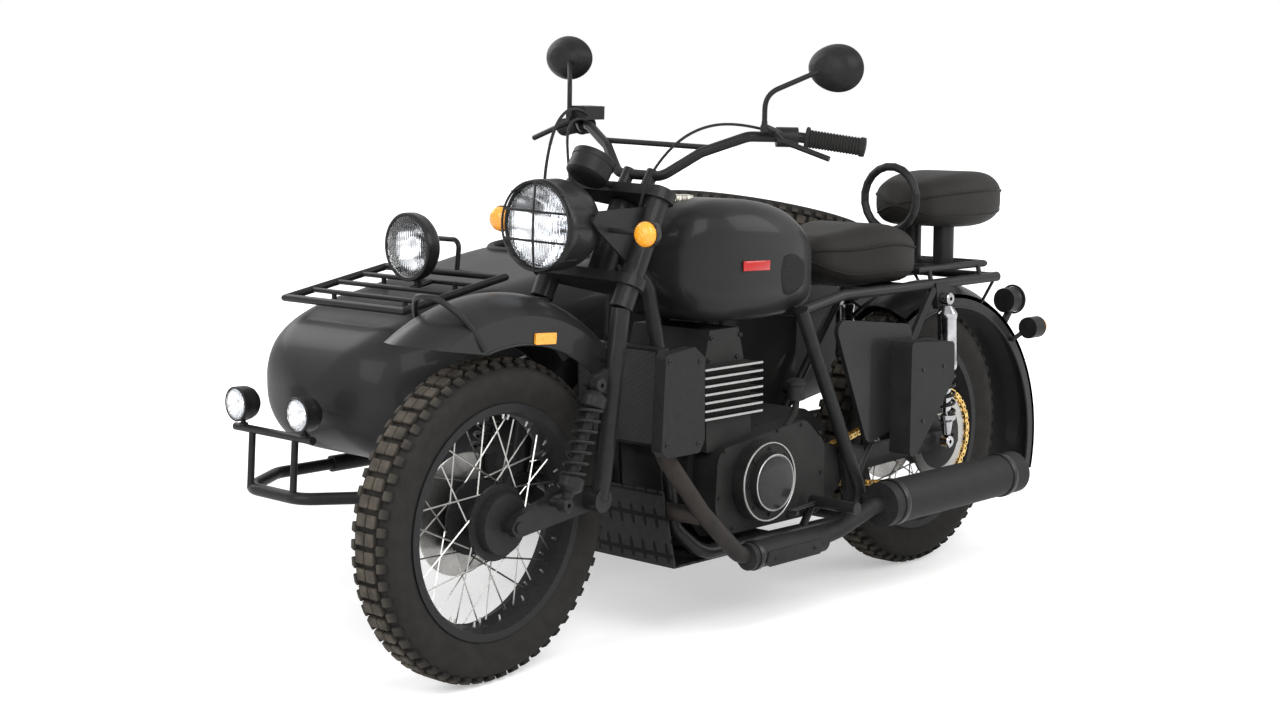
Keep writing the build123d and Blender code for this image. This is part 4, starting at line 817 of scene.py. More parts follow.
def smooth_path(corners, bend):
    """Points along corners on the grid, each corner rounded by a curve that starts a bend away."""
    corners = [spot(*corner) for corner in corners]
    path = [corners[0]]
    for before, corner, after in zip(corners, corners[1:], corners[2:]):
        start = corner + (before - corner).normalized() * min(bend * grid, (before - corner).length / 2)
        end = corner + (after - corner).normalized() * min(bend * grid, (after - corner).length / 2)
        path += [
            start * (1 - t) ** 2 + corner * 2 * t * (1 - t) + end * t**2
            for t in [step / bend_steps for step in range(bend_steps + 1)]
        ]
    return path + [corners[-1]]


deck_roll = mottled("cockpit_roll_vinyl", 0.012, (0.024, 0.023, 0.022), (700, 3), (0.5, 0), depth=0.0004)
rim_path = []
for across, along in rounded_loop(cockpit_reach, cockpit_half, cockpit_corner, 96):
    deck = station_at(tub_stations, cockpit_middle + along, 23.0)
    rim_path.append(spot(cockpit_middle + along, tub_middle + across, deck[1] - 0.1))
settle(sweep(rim_path, 0.010, 14, loop=True), "cockpit_edge_roll", deck_roll, "chassis")

hinge_place = Vector((-0.42514, -0.242, 0.82984))
ear_paint = Finish("hinge_ear_black", roughness=0.4, metallic=0.4)
ear_wear = ear_paint.noise(300, 4)
ear_paint.set(Base_Color=ear_paint.blend(ear_wear, 0.012, 0.05))
ears = []
ear_radius, ear_foot, ear_reach = 0.8, -1.25, 0.034
ear_outline = [
    (ear_radius * cos(radians(turn)), ear_radius * sin(radians(turn))) for turn in range(-10, 191, 20)
]
ear_outline += [(-ear_radius, ear_foot), (ear_radius, ear_foot)]
for knuckle in (-0.150, 0.150):
    for start in (-ear_reach, 0.026):
        ear = prism(ear_outline, 0, 0.8)
        ear.matrix_world = (
            Matrix.Translation(hinge_place + leftward * (knuckle + start))
            @ Matrix.Rotation(-trunk_slope, 4, "Y")
            @ Matrix.Translation(-spot(0, 0, 0))
        )
        ears.append(ear)
    pin_ends = (hinge_place + leftward * (knuckle + reach) for reach in (-ear_reach, ear_reach))
    ears.append(rod(*pin_ends, 0.005, 16))
settle(join(ears), "hinge_ears_and_pins", ear_paint, "chassis")


# Seats: black leather over foam, crowned, each with a piped seam round its edge; the two on the motorcycle
# are saddles on their own springs or rails, and the sidecar has a cushion and a back with sewn channels.
leather = Finish("seat_leather", roughness=0.55)
pores = leather.node("TexVoronoi", {"feature": "DISTANCE_TO_EDGE"}, {"Vector": leather.place(), "Scale": 520})
wear = leather.noise(14, 6)
leather.set(
    Base_Color=leather.blend(wear, (0.010, 0.0095, 0.009), (0.026, 0.024, 0.022)),
    Roughness=0.46 + wear * 0.2,
)
leather.bump(pores * 0.5 + leather.noise(60, 4) * 0.8, 0.0011)
piping = Finish("seat_piping", roughness=0.42)
thread = piping.node("TexWave", {"wave_type": "BANDS"}, {"Vector": piping.place(), "Scale": 240})
piping.set(Base_Color=piping.blend(thread, 0.007, (0.022, 0.021, 0.020)))
piping.bump(thread, 0.0004)

saddle_waist = 0.035
rider_stations = (
    (13.6, 44.0, 50.0, 10.0, 3.0), (16.5, 40.8, 52.4, 13.8, 5.4), (26.0, 40.4, 54.6, 15.0, 6.6),
    (38.0, 40.4, 53.2, 11.0, 5.4), (47.0, 44.5, 51.5, 7.0, 3.4),
)
pillion_stations = (
    (-29.0, 55.8, 61.6, 7.0, 2.6), (-21.0, 52.6, 65.3, 12.4, 6.0), (-9.0, 52.0, 65.6, 13.2, 6.4),
    (2.0, 53.0, 63.8, 9.8, 5.2), (7.0, 55.2, 60.8, 5.2, 2.6),
)


def seam(stations, level, ends):
    """A closed line round a saddle at a share of its height, on its skin."""
    path, count = [], 90
    for step in range(count):
        turn = 2 * pi * step / count
        first, last = stations[0][0], stations[-1][0]
        x = (first + last) / 2 + (last - first) / 2 * cos(turn) * 0.985
        low, high, half, corner = station_at(stations, x)
        close = 1.0
        for gap, end in ((x - first, ends[0]), (last - x, ends[1])):
            if gap < end:
                close *= sqrt(max(0.0, 1 - (1 - gap / end) ** 2))
        rise = (high - low) / 2
        up = level * rise
        over = max(0.0, abs(up) - (rise - corner))
        across = half - corner + sqrt(max(0.0, corner * corner - over * over))
        path.append(spot(x, (1 if sin(turn) >= 0 else -1) * across * close, (low + high) / 2 + up * close))
    return path


def waisted(level):
    """How wide a saddle is at a share of its height: a little less halfway up."""
    return 1 - saddle_waist * max(0.0, 1 - (level * 2) ** 2)


for name, stations, body in (
    ("rider_seat", rider_stations, "chassis"), ("pillion_seat", pillion_stations, "chassis"),
):
    ends = (4.0, 4.5)
    saddle = shell(stations, 60, 64, ends=ends, waist=waisted)
    settle(saddle, name + "_leather", leather, body, name, smooth=60)
    for place, level in enumerate((0.35, -0.55)):
        line = sweep(seam(stations, level, ends), 0.0022, 8, loop=True)
        settle(line, f"{name}_piping_{place + 1}", piping, body)

cushion_power, cushion_crown, channel_depth = 0.32, 0.16, 0.16


def cushion(middle, reach, half, rise, tilt, channels):
    """A stuffed cushion: a crowned box with soft corners, its top sewn in channels across."""
    turn_by = Matrix.Translation(spot(*middle)) @ Matrix.Rotation(tilt, 4, "Y")

    def soft(value):
        return (1 if value >= 0 else -1) * abs(value) ** cushion_power

    def point(along, share):
        lift, turn = pi * (along - 0.5), 2 * pi * share
        flat = soft(cos(lift))
        x, y = reach * flat * soft(cos(turn)), half * flat * soft(sin(turn))
        crown = 1 - cushion_crown * (x / reach) ** 2 - cushion_crown * (y / half) ** 2
        z = rise * soft(sin(lift)) * crown
        if z > 0:
            groove = abs((x / reach + 1) / 2 * channels % 1 - 0.5) * 2
            z -= rise * channel_depth * groove**8 * (1 - (y / half) ** 4)
        return turn_by @ (Vector((x, y, z)) * grid)

    return form(80, 120, point)


for name, middle, reach, half, rise, tilt, channels in (
    ("sidecar_cushion", (43.5, tub_middle, 6.4), 18.2, 21.6, 5.4, 0.0, 5),
    ("sidecar_back", (29.0, tub_middle, 26.6), 15.2, 21.6, 4.4, radians(-98), 5),
):
    pad = cushion(middle, reach, half, rise, tilt, channels)
    settle(pad, name, leather, "chassis", *(["sidecar_seat"] if name == "sidecar_cushion" else []), smooth=60)


# Lamps: each is a black shell with a bright bowl behind a clear ribbed lens; the headlamp has a wire guard
# and the sidecar has one large lamp on its rack and two small ones on its bumper.
def lathe(foot, axis, profile, columns):
    """A turned piece round an axis from its foot: pairs of distance along it and radius, in grid squares."""
    axis = axis.normalized()
    side = axis.orthogonal().normalized()
    other = axis.cross(side)

    def point(along, share):
        reach, radius = profile[round(along * (len(profile) - 1))]
        turned = side * cos(2 * pi * share) + other * sin(2 * pi * share)
        return foot + (axis * reach + turned * radius) * grid

    return form(len(profile) - 1, columns, point)


lamp_black = mottled("lamp_shell_black", 0.009, 0.020, (60, 5), (0.38, 0), (700, 2), 0.00012, 0.1)
bowl_chrome = Finish("lamp_bowl_chrome", roughness=0.08, metallic=1.0)
ripple = bowl_chrome.node(
    "TexWave", {"wave_type": "RINGS"}, {"Vector": bowl_chrome.place(), "Scale": 9, "Distortion": 2.0},
)
bowl_chrome.set(
    Base_Color=bowl_chrome.blend(ripple, (0.72, 0.73, 0.75), (0.93, 0.94, 0.96)),
    Roughness=0.05 + ripple * 0.1,
)
bowl_chrome.bump(ripple, 0.0012)
clear_lens = Finish("lamp_lens_glass", roughness=0.03)
clear_lens.shader.inputs["Transmission Weight"].default_value = 1.0
clear_lens.shader.inputs["IOR"].default_value = 1.3
flute = (clear_lens.axis("Y") * 900).sine()
clear_lens.set(Base_Color=clear_lens.blend(flute * 0.5 + 0.5, (0.93, 0.95, 0.97), 1.0))
clear_lens.bump(flute, 0.0004, 0.5)

lamps_made = (
    ("headlamp", (118.0, 0, 58.8), 13.9, 9.5, "steering", True),
    ("spot_lamp", (108.5, -60.0, 50.2), 6.5, 8.0, "chassis", False),
    ("bumper_lamp_left", (144.5, -55.0, 15.6), 6.0, 4.0, "chassis", False),
    ("bumper_lamp_right", (144.5, -78.0, 15.6), 6.0, 4.0, "chassis", False),
)
for name, back, depth, radius, body, steered in lamps_made:
    foot = spot(*back)
    rim = depth - 0.12 * radius
    outside = (
        (0, 0), (0, 0.42 * radius), (0.06 * depth, 0.62 * radius), (0.20 * depth, 0.84 * radius),
        (0.36 * depth, 0.95 * radius), (0.52 * depth, 0.995 * radius), (rim - 0.16 * radius, 0.995 * radius),
        (rim - 0.15 * radius, 1.0 * radius), (rim, 1.0 * radius), (rim + 0.03 * radius, 0.975 * radius),
        (rim + 0.03 * radius, 0.90 * radius), (rim - 0.03 * radius, 0.88 * radius),
        (rim - 0.05 * radius, 0.88 * radius),
    )
    inside = [
        (rim - 0.05 * radius - 0.50 * radius * (1 - (1 - t) ** 2), 0.88 * radius * (1 - t))
        for t in [step / 12 for step in range(1, 12)]
    ]
    replaced = {"headlamp": ["headlamp"], "spot_lamp": ["driving_lamps"]}.get(name, [])
    case = lathe(
        foot, ahead,
        (*outside, (rim - 0.06 * radius, 0.86 * radius), (0.3 * depth, 0.5 * radius), (0.3 * depth, 0)), 72,
    )
    settle(case, name + "_shell", lamp_black, body, *replaced, steered=steered, smooth=28)
    bowl = lathe(
        foot, ahead, ((rim - 0.04 * radius, 0.885 * radius), *inside, (rim - 0.55 * radius, 0)), 72,
    )
    shade = lathe(
        foot + ahead * (rim - 0.50 * radius) * grid, ahead,
        [
            (reach * radius, share * radius)
            for reach, share in ((0, 0), (0, 0.16), (0.18, 0.16), (0.22, 0.30), (0.27, 0.28), (0.30, 0))
        ],
        32,
    )
    settle(join([bowl, shade]), name + "_bowl", bowl_chrome, body, steered=steered, smooth=40)
    dome = [
        (rim + 0.02 * radius + (depth - rim - 0.03 * radius) * (1 - t * t), 0.89 * radius * t)
        for t in [step / 10 for step in range(11)]
    ]
    back_dome = [(reach - 0.03 * radius, span * 0.985) for reach, span in dome[::-1]]
    glass = lathe(foot, ahead, (*dome, *back_dome), 64)
    settle(glass, name + "_lens", clear_lens, body, steered=steered, smooth=60)

guard_x, guard_z, guard_radius, guard_wire, guard_bow = 131.9, 58.8, 9.1, 0.0026, 0.6


def upright_ring(x, z, radius, step):
    """Places round a circle that faces ahead, a step of so many degrees apart."""
    return [spot(x, radius * cos(radians(t)), z + radius * sin(radians(t))) for t in range(0, 360, step)]


def bowed(start, end):
    """A wire across the guard's ring from one place (y, z) to another, bowed ahead in its middle."""
    path, count = [], 17
    for share in [step / (count - 1) for step in range(count)]:
        y, z = (a + (b - a) * share for a, b in zip(start, end))
        path.append(spot(guard_x + guard_bow * (1 - (2 * share - 1) ** 2), y, guard_z + z))
    return sweep(path, guard_wire, 8)


wires = [sweep(upright_ring(guard_x, guard_z, guard_radius, 6), guard_wire, 8, loop=True)]
for rise in (3.0, -3.0):
    reach = sqrt(guard_radius**2 - rise**2)
    wires.append(bowed((-reach, rise), (reach, rise)))
wires.append(bowed((0, -guard_radius), (0, guard_radius)))
for turn in (45, 135, 225, 315):
    post_y, post_z = 9.3 * cos(radians(turn)), guard_z + 9.3 * sin(radians(turn))
    wires.append(sweep([spot(x, post_y, post_z) for x in (126.5, 129.0, guard_x)], guard_wire, 8))
for hand in (1, -1):
    pivot = ((0, 0), (0, 0.9), (0.6, 0.9), (0.7, 0.8), (0.7, 0))
    wires.append(lathe(spot(124.7, hand * 9.0, 60.2), leftward * hand, pivot, 20))
settle(join(wires), "headlamp_guard", lamp_black, "steering", steered=True)

stands = [
    lathe(
        spot(111.0, -60.0, 40.6), upward, ((0, 0), (0, 0.9), (1.6, 0.9), (1.8, 0.7), (2.4, 0.7), (2.4, 0)), 20,
    ),
    sweep([spot(106.5, -60.0, 41.8), spot(110.2, -60.0, 41.1), spot(114.0, -60.0, 40.4)], 0.006, 12),
]
for y in (-55.0, -78.0):
    stem = ((0, 0), (0, 0.6), (0.5, 0.6), (0.6, 1.1), (1.1, 1.1), (1.2, 0.6), (2.4, 0.6), (2.4, 0))
    stands.append(lathe(spot(148.0, y, 10.0), upward, stem, 20))
settle(join(stands), "lamp_stands", lamp_black, "chassis")

amber = Finish("signal_lens_amber", roughness=0.12)
amber.shader.inputs["Transmission Weight"].default_value = 0.25
facet = amber.node("TexVoronoi", {"feature": "F1"}, {"Vector": amber.place(), "Scale": 230})
amber.set(
    Base_Color=amber.blend(facet * 3.0, (0.80, 0.20, 0.008), (1.0, 0.44, 0.03)),
    Emission_Color=(0.9, 0.22, 0.01), Coat_Weight=0.6,
)
# This faint emission is a painted glow: the fender's reflector, which is no lamp, and the signal lenses glow
# with it.
amber.shader.inputs["Emission Strength"].default_value = 0.12
amber.bump(facet, 0.0016)
signal_case = (
    (0, 0), (0, 1.3), (0.35, 2.1), (1.1, 2.7), (2.3, 2.8), (2.6, 2.8), (2.6, 2.4), (2.2, 2.3), (2.2, 0),
)
signal_lens = ((2.2, 0), (2.2, 2.35), (2.7, 2.6), (3.4, 2.55), (4.0, 2.1), (4.35, 1.3), (4.45, 0))
for hand, word in ((1, "left"), (-1, "right")):
    foot = spot(118.0, hand * 20.0, 58.2)
    case = lathe(foot, ahead, signal_case, 32)
    stalk = sweep([spot(120.3, hand * y, 58.2) for y in (10.3, 14.0, 17.8)], 0.0055, 14)
    settle(
        join([case, stalk]), f"front_signal_shell_{word}", lamp_black, "steering",
        *(["front_signals"] if hand > 0 else []), steered=True,
    )
    settle(lathe(foot, ahead, signal_lens, 32), f"front_signal_lens_{word}", amber, "steering", steered=True)
reflector_outline = (
    (-2.9, -1.15), (2.9, -1.15), (3.1, -0.9), (3.1, 0.9), (2.9, 1.15), (-2.9, 1.15), (-3.1, 0.9), (-3.1, -0.9),
)
reflector = prism(reflector_outline, 0, 0.5)
reflector.matrix_world = (
    Matrix.Translation(spot(136.9, 7.75, 37.2))
    @ Matrix.Rotation(radians(-4), 4, "Y")
    @ Matrix.Translation(-spot(0, 0, 0))
)
settle(reflector, "fender_reflector", amber, "steering", steered=True)


# Springs and struts: in front a black coil between black cups, behind a chromed body over a black coil.
def helix(foot, head, start, end, radius, turns, wire):
    """A coil spring between two shares of the line from foot to head."""
    length = (head - foot).length
    axis = (head - foot) / length
    side = axis.orthogonal().normalized()
    other = axis.cross(side)
    path = []
    for step in range(turns * 20 + 1):
        share = step / (turns * 20)
        turn = 2 * pi * turns * share
        rise = (start + (end - start) * share) * length
        path.append(foot + axis * rise + (side * cos(turn) + other * sin(turn)) * radius * grid)
    return sweep(path, wire, 8)


chrome = mottled(
    "strut_chrome", (0.22, 0.22, 0.23), (0.46, 0.46, 0.47), (45, 5), (0.10, 0.16), depth=0.0001, metallic=1.0,
)
spring_black = mottled("spring_black", 0.008, 0.024, (150, 4), (0.35, 0), depth=0.0003)
chromed_profile = (
    (0.05, 0), (0.05, 1.0), (0.08, 1.2), (0.14, 1.5), (0.16, 2.2), (0.19, 2.3), (0.20, 1.1), (0.50, 1.1),
    (0.51, 2.3), (0.53, 2.5), (0.56, 2.5), (0.57, 2.35), (0.86, 2.35), (0.87, 2.5), (0.90, 2.5), (0.92, 2.0),
    (0.95, 1.1), (0.95, 0),
)
black_profile = (
    (0.05, 0), (0.05, 1.0), (0.10, 1.3), (0.13, 2.4), (0.15, 2.7), (0.22, 2.7), (0.235, 2.4), (0.24, 1.2),
    (0.80, 1.2), (0.81, 2.4), (0.82, 2.7), (0.90, 2.7), (0.92, 2.3), (0.95, 1.0), (0.95, 0),
)
eye_profile = ((0, 0.5), (0, 1.3), (0.2, 1.5), (2.2, 1.5), (2.4, 1.3), (2.4, 0.5), (0, 0.5))
struts = (
    ("front_strut_left", (135.5, 13.0, 3.7), (126.2, 13.0, 27.2), "steering", True, "front_shocks", False),
    ("front_strut_right", (135.5, -13.0, 3.7), (126.2, -13.0, 27.2), "steering", True, None, False),
    ("rear_strut_left", (5.4, 15.8, 0), (6.4, 15.8, 35.6), "chassis", False, "rear_shocks", True),
    ("rear_strut_right", (5.4, -15.8, 0), (6.4, -15.8, 35.6), "chassis", False, None, True),
)
for name, low_eye, high_eye, body, steered, replaced, chromed in struts:
    foot, head = spot(*low_eye), spot(*high_eye)
    length = (head - foot).length / grid
    eyes = [lathe(place - leftward * 0.012, leftward, eye_profile, 28) for place in (foot, head)]
    body_profile = chromed_profile if chromed else black_profile
    coil = (0.20, 0.51, 1.9, 5) if chromed else (0.17, 0.87, 2.35, 8)
    stem = lathe(foot, head - foot, [(share * length, radius) for share, radius in body_profile], 36)
    settle(
        join([*eyes, stem]), name + "_body", chrome if chromed else spring_black, body,
        *([replaced] if replaced else []), steered=steered, smooth=30,
    )
    settle(helix(foot, head, *coil, 0.0038), name + "_coil", spring_black, body, steered=steered, smooth=60)


# Drive chain: gold-plated plates and rollers, one link after another round both sprockets.
chain_y, pin_pitch = 9.4, 1.59
rear_pitch, front_pitch = 11.8, 3.8
front_sprocket_at = (47.0, -1.6)
span = sqrt(front_sprocket_at[0] ** 2 + front_sprocket_at[1] ** 2)
lean = atan2(front_sprocket_at[1], front_sprocket_at[0])
open_angle = acos((rear_pitch - front_pitch) / span)
chain_line = []
for step in range(41):
    turn = lean + open_angle + (2 * pi - 2 * open_angle) * step / 40
    chain_line.append((rear_pitch * cos(turn), rear_pitch * sin(turn)))
for step in range(17):
    turn = lean - open_angle + 2 * open_angle * step / 16
    chain_line.append(
        (front_sprocket_at[0] + front_pitch * cos(turn), front_sprocket_at[1] + front_pitch * sin(turn))
    )
chain_line.append(chain_line[0])
lengths = [0.0]
for (ax, az), (bx, bz) in zip(chain_line, chain_line[1:]):
    lengths.append(lengths[-1] + sqrt((bx - ax) ** 2 + (bz - az) ** 2))
link_count = 2 * round(lengths[-1] / pin_pitch / 2)
link_pitch = lengths[-1] / link_count


def on_chain(distance):
    """The place at a distance along the chain's line."""
    distance %= lengths[-1]
    step = max(i for i, reach in enumerate(lengths[:-1]) if reach <= distance)
    share = (distance - lengths[step]) / (lengths[step + 1] - lengths[step])
    (ax, az), (bx, bz) = chain_line[step], chain_line[step + 1]
    return ax + (bx - ax) * share, az + (bz - az) * share


chain_gold = mottled(
    "chain_gold", (0.42, 0.26, 0.07), (0.86, 0.62, 0.24), (220, 5), (0.22, 0.25), depth=0.0003, metallic=1.0,
)
plate_radius, plate_half = 0.68, 0.1
roller = ((0, 0), (0, 0.35), (1.92, 0.35), (1.92, 0))
links = []
for count in range(link_count):
    (ax, az), (bx, bz) = on_chain(count * link_pitch), on_chain((count + 1) * link_pitch)
    angle = atan2(bz - az, bx - ax)
    wide = 0.62 if count % 2 else 0.86
    outline = [
        (end * link_pitch / 2 + plate_radius * cos(radians(turn)), plate_radius * sin(radians(turn)))
        for end, turns in ((1, (-60, 0, 60)), (-1, (120, 180, 240)))
        for turn in turns
    ]
    for hand in (1, -1):
        plate = prism(outline, hand * wide - plate_half, hand * wide + plate_half)
        plate.matrix_world = (
            Matrix.Translation(spot((ax + bx) / 2, chain_y, (az + bz) / 2))
            @ Matrix.Rotation(-angle, 4, "Y")
            @ Matrix.Translation(-spot(0, 0, 0))
        )
        links.append(plate)
    links.append(lathe(spot(ax, chain_y - 0.96, az), leftward, roller, 6))
settle(join(links), "drive_chain_links", chain_gold, "chassis", "drive_chain")


# Frame, racks and tubes: welded steel tube in black powder coat, with a fine orange-peel skin, a little
# paler in soft clouds.
def painted(name, dark, pale, roughness, grain=60, skin=700, **others):
    """A paint of a middling roughness, in soft clouds, with a fine skin."""
    return mottled(name, dark, pale, (grain, 5), (roughness - 0.05, 0.12), (skin, 3), **others)


powder = painted("powder_coat_black", 0.008, 0.019, 0.42, coat_weight=0.08)
coat(
    powder, "main_frame", "rear_rack", "grab_ring", "swing_arm", "nose_rack", "nose_bumper", "sidecar_frame",
    "sidecar_arm", "fork",
)


# Fender trim: the round hoop over the front fender's nose, its two stays on the fork's legs, and the pins
# that carry the rear and sidecar fenders, all in the frame's powder coat.
hoop = smooth_path(
    [
        (154.4, 8.0, 36.6), (158.5, 7.2, 42.5), (162.2, 3.2, 46.8), (162.2, -3.2, 46.8), (158.5, -7.2, 42.5),
        (154.4, -8.0, 36.6),
    ], 2.6
)
stays = [sweep([spot(118.8, hand * y, 30.9) for y in (7.7, 9.0, 10.4)], 0.004, 12) for hand in (1, -1)]
settle(join([sweep(hoop, 0.006, 14), *stays]), "front_fender_hoop", powder, "steering", steered=True, smooth=50)
rolled = []
for hand in (1, -1):
    for centre, reach, across, first, last, nosed in (
        ((145.0, 0, 0), 36.6, 7.75, 77, 138, True), ((-6.0, 0, -4.9), 36.8, 8.45, 62, 194, False),
        ((27.0, -115.0, 0), 34.0, 8.45, 15, 165, False),
    ):
        arc = []
        for step in range(49):
            angle = radians(first + (last - first) * step / 48)
            place = spot(
                centre[0] + reach * cos(angle), centre[1] + hand * across, centre[2] + reach * sin(angle),
            )
            arc.append(turn_fork @ place if nosed else place)
        rolled.append((sweep(arc, 0.003, 8), "steering" if nosed else "chassis"))
for body in ("steering", "chassis"):
    settle(
        join([piece for piece, carrier in rolled if carrier == body]), f"{body}_fender_beads", fender_paint,
        body, smooth=60,
    )
rear_pins = []
pin_depth = 4.0
for hand in (1, -1):
    for turn, end in ((110, (-19.0, 12.6, 38.8)), (68, (11.0, 13.5, 35.4))):
        reach = 43.3 - pin_depth
        start = (-6.0 + reach * cos(radians(turn)), 8.4, -4.9 + reach * sin(radians(turn)))
        ends = [spot(x, hand * y, z) for x, y, z in (start, end)]
        rear_pins.append(rod(*ends, 0.004, 12))
settle(join(rear_pins), "rear_fender_pins", powder, "chassis")
side_pins = []
for turn in (66, 111):
    reach = 40.0 - pin_depth
    start = (27.0 + reach * cos(radians(turn)), -106.6, reach * sin(radians(turn)))
    side_pins.append(rod(spot(*start), spot(start[0], -95.0, 29.5), 0.004, 12))
settle(join(side_pins), "sidecar_fender_pins", powder, "chassis")


# Engine: cast aluminium in black, its cooling fins and cylinder bands milled bare at their edges, with a
# blank round cover on its left and socket screws round every cover.
cast = mottled(
    "engine_cast_black", 0.010, (0.030, 0.029, 0.028), (18, 5), (0.42, 0.18), (420, 5), 0.0006, metallic=0.35,
)
coat(cast, "engine")

bare_metal = mottled("milled_aluminium", 0.20, (0.42, 0.42, 0.41), (300, 4), (0.26, 0.2), metallic=1.0)
edges = []
fin_count, lowest_fin, fin_pitch = 7, 15.5, 1.8
for count in range(fin_count):
    level = lowest_fin + fin_pitch * count
    for hand in (1, -1):
        strip = [
            (74.5, level - 0.04), (93.5, level - 0.04), (93.6, level + 0.2), (93.5, level + 0.44),
            (74.5, level + 0.44), (74.4, level + 0.2),
        ]
        edges.append(prism(strip, hand * 14.28, hand * 14.42))
    front = [(93.48, level - 0.04), (93.62, level + 0.04), (93.62, level + 0.36), (93.48, level + 0.44)]
    edges.append(prism(front, -14.3, 14.3))
settle(join(edges), "fin_edges", bare_metal, "chassis")

screw_black = painted("screw_black_oxide", 0.012, (0.05, 0.05, 0.048), 0.35, metallic=0.7, grain=200)


def screw(x, y, z, hand, size=0.42, height=0.35):
    """A socket screw whose head points left or right."""
    head = (
        (0, 0), (0, size), (height * 0.8, size), (height, size * 0.85), (height, size * 0.5),
        (height * 0.4, size * 0.48), (height * 0.4, 0),
    )
    return lathe(spot(x, y, z), leftward * hand, head, 12)


cover_x, cover_z = 76.6, 0.4
cover_rings = [
    lathe(
        spot(cover_x, 18.2, cover_z), leftward,
        ((0, 8.5), (0, 8.9), (0.3, 8.88), (0.4, 8.8), (0.4, 8.6), (0.3, 8.5), (0, 8.5)), 64,
    ),
    lathe(
        spot(cover_x, 19.9, cover_z), leftward,
        (
            (0, 0), (0, 6.4), (0.22, 6.38), (0.3, 6.3), (0.3, 6.1), (0.12, 6.0), (0.12, 1.2), (0.24, 0.8),
            (0.26, 0),
        ),
        64,
    ),
]
settle(join(cover_rings), "engine_cover_rings", bare_metal, "chassis")
cover_disc = painted("engine_cover_black", 0.006, 0.015, 0.28, coat_weight=0.25)
disc_profile = ((0, 0), (0, 5.9), (0.14, 5.9), (0.26, 5.3), (0.36, 2.6), (0.38, 0))
disc = lathe(spot(cover_x, 20.02, cover_z), leftward, disc_profile, 64)
settle(disc, "engine_cover_disc", cover_disc, "chassis")
screw_circle = 7.4
screws = []
for turn in [radians(45 * step) for step in range(8)]:
    x, z = cover_x + screw_circle * cos(turn), cover_z + screw_circle * sin(turn)
    screws.append(screw(x, 18.3, z, 1, 0.38, 0.5))
for x, z in (
    (55.0, 8.4), (61.5, 10.9), (70.0, 10.6), (88.0, 8.2), (89.6, -2.0), (85.2, -9.3), (66.0, -9.5),
    (56.0, -9.4), (54.2, -1.0),
):
    for hand in (1, -1):
        screws.append(screw(x, hand * 14.95, z, hand, 0.42, 0.45))
for x, z in ((79.0, 32.8), (88.6, 32.8), (80.0, 28.0), (89.4, 28.0)):
    for hand in (1, -1):
        screws.append(screw(x, hand * 11.45, z, hand, 0.5, 0.5))
settle(join(screws), "engine_screws", screw_black, "chassis")

plug_rubber = painted("plug_cap_rubber", 0.010, (0.022, 0.021, 0.020), 0.7, skin=300)
plug_cap = ((0, 0), (0, 1.1), (0.3, 1.25), (0.5, 1.0), (0.7, 1.2), (0.9, 0.95), (1.1, 0.9), (1.2, 0))
plugs = [lathe(spot(84.3, y, 34.3), upward, plug_cap, 20) for y in (6.0, -6.0)]
settle(join(plugs), "plug_caps", plug_rubber, "chassis", smooth=25)
breather_shape = ((0, 0), (0, 1.9), (3.2, 1.9), (3.4, 2.2), (4.2, 2.2), (4.4, 1.9), (4.8, 1.5), (5.0, 0))
breather = [
    lathe(spot(64.0, 15.4, 17.0), upward, breather_shape, 36),
    sweep(smooth_path([(64.0, 15.4, 17.2), (64.0, 15.2, 14.0), (66.5, 13.6, 10.0)], 2.4), 0.008, 14),
]
settle(join(breather), "breather_bottle", cast, "chassis")


# Radiator: a finned core behind two moulded shields, one on each side of the engine, held by hex screws.
shield_plastic = painted("shield_moulded_black", 0.010, 0.020, 0.48, skin=500, depth=0.0004)
coat(shield_plastic, "radiator")
grille_metal = Finish("radiator_core_metal", roughness=0.45, metallic=0.8)
louvre = (grille_metal.axis("Z") * 2400).sine()
grille_metal.set(Base_Color=grille_metal.blend(louvre * 0.5 + 0.5, 0.012, 0.10))
grille_metal.bump(louvre, 0.0008)
core_face = prism([(105.9, 11.6), (106.15, 11.6), (106.15, 31.4), (105.9, 31.4)], -11.4, 11.4)
settle(core_face, "radiator_core_face", grille_metal, "chassis")
shield_screws = []
for x, z in ((101.6, 29.8), (110.8, 30.6), (111.6, 13.2), (102.0, 12.4)):
    for hand in (1, -1):
        shield_screws.append(screw(x, hand * 19.95, z, hand, 0.5, 0.3))
settle(join(shield_screws), "shield_screws", screw_black, "chassis")


# Exhaust: steel in high-heat black, browned a little where the headers leave the engine, with bare straps.
heat_black = Finish("exhaust_heat_black", roughness=0.6, metallic=0.35)
scale = heat_black.noise(45, 6)
hot = ((heat_black.axis("X") - 0.18) * 4).clamp()
heat_black.set(
    Base_Color=heat_black.blend(
        (hot * scale).clamp(),
        heat_black.blend(scale, (0.014, 0.014, 0.0145), (0.030, 0.030, 0.031)), (0.045, 0.034, 0.026),
    ),
    Roughness=0.52 + scale * 0.16,
)
heat_black.bump(heat_black.noise(500, 4), 0.0003)
coat(heat_black, "exhaust")
wide_strap = ((0, 5.15), (0, 5.42), (0.2, 5.5), (1.6, 5.5), (1.8, 5.42), (1.8, 5.15), (0, 5.15))
small_strap = ((0, 2.9), (0, 3.25), (0.2, 3.3), (1.2, 3.3), (1.4, 3.25), (1.4, 2.9), (0, 2.9))
straps = [lathe(spot(x, 23.0, -9.35), ahead, wide_strap, 56) for x in (37.0, -8.0)]
straps.append(lathe(spot(86.5, 21.5, -14.2), behind, small_strap, 40))
settle(join(straps), "exhaust_straps", screw_black, "chassis")
plate = [(65.5, -15.6), (66.5, -13.2), (84.0, -13.2), (85.0, -15.6), (84.0, -16.6), (66.5, -16.6)]
heat_plate = shaped(prism(plate, 24.5, 24.9), "BEVEL", width=0.0018, segments=2)
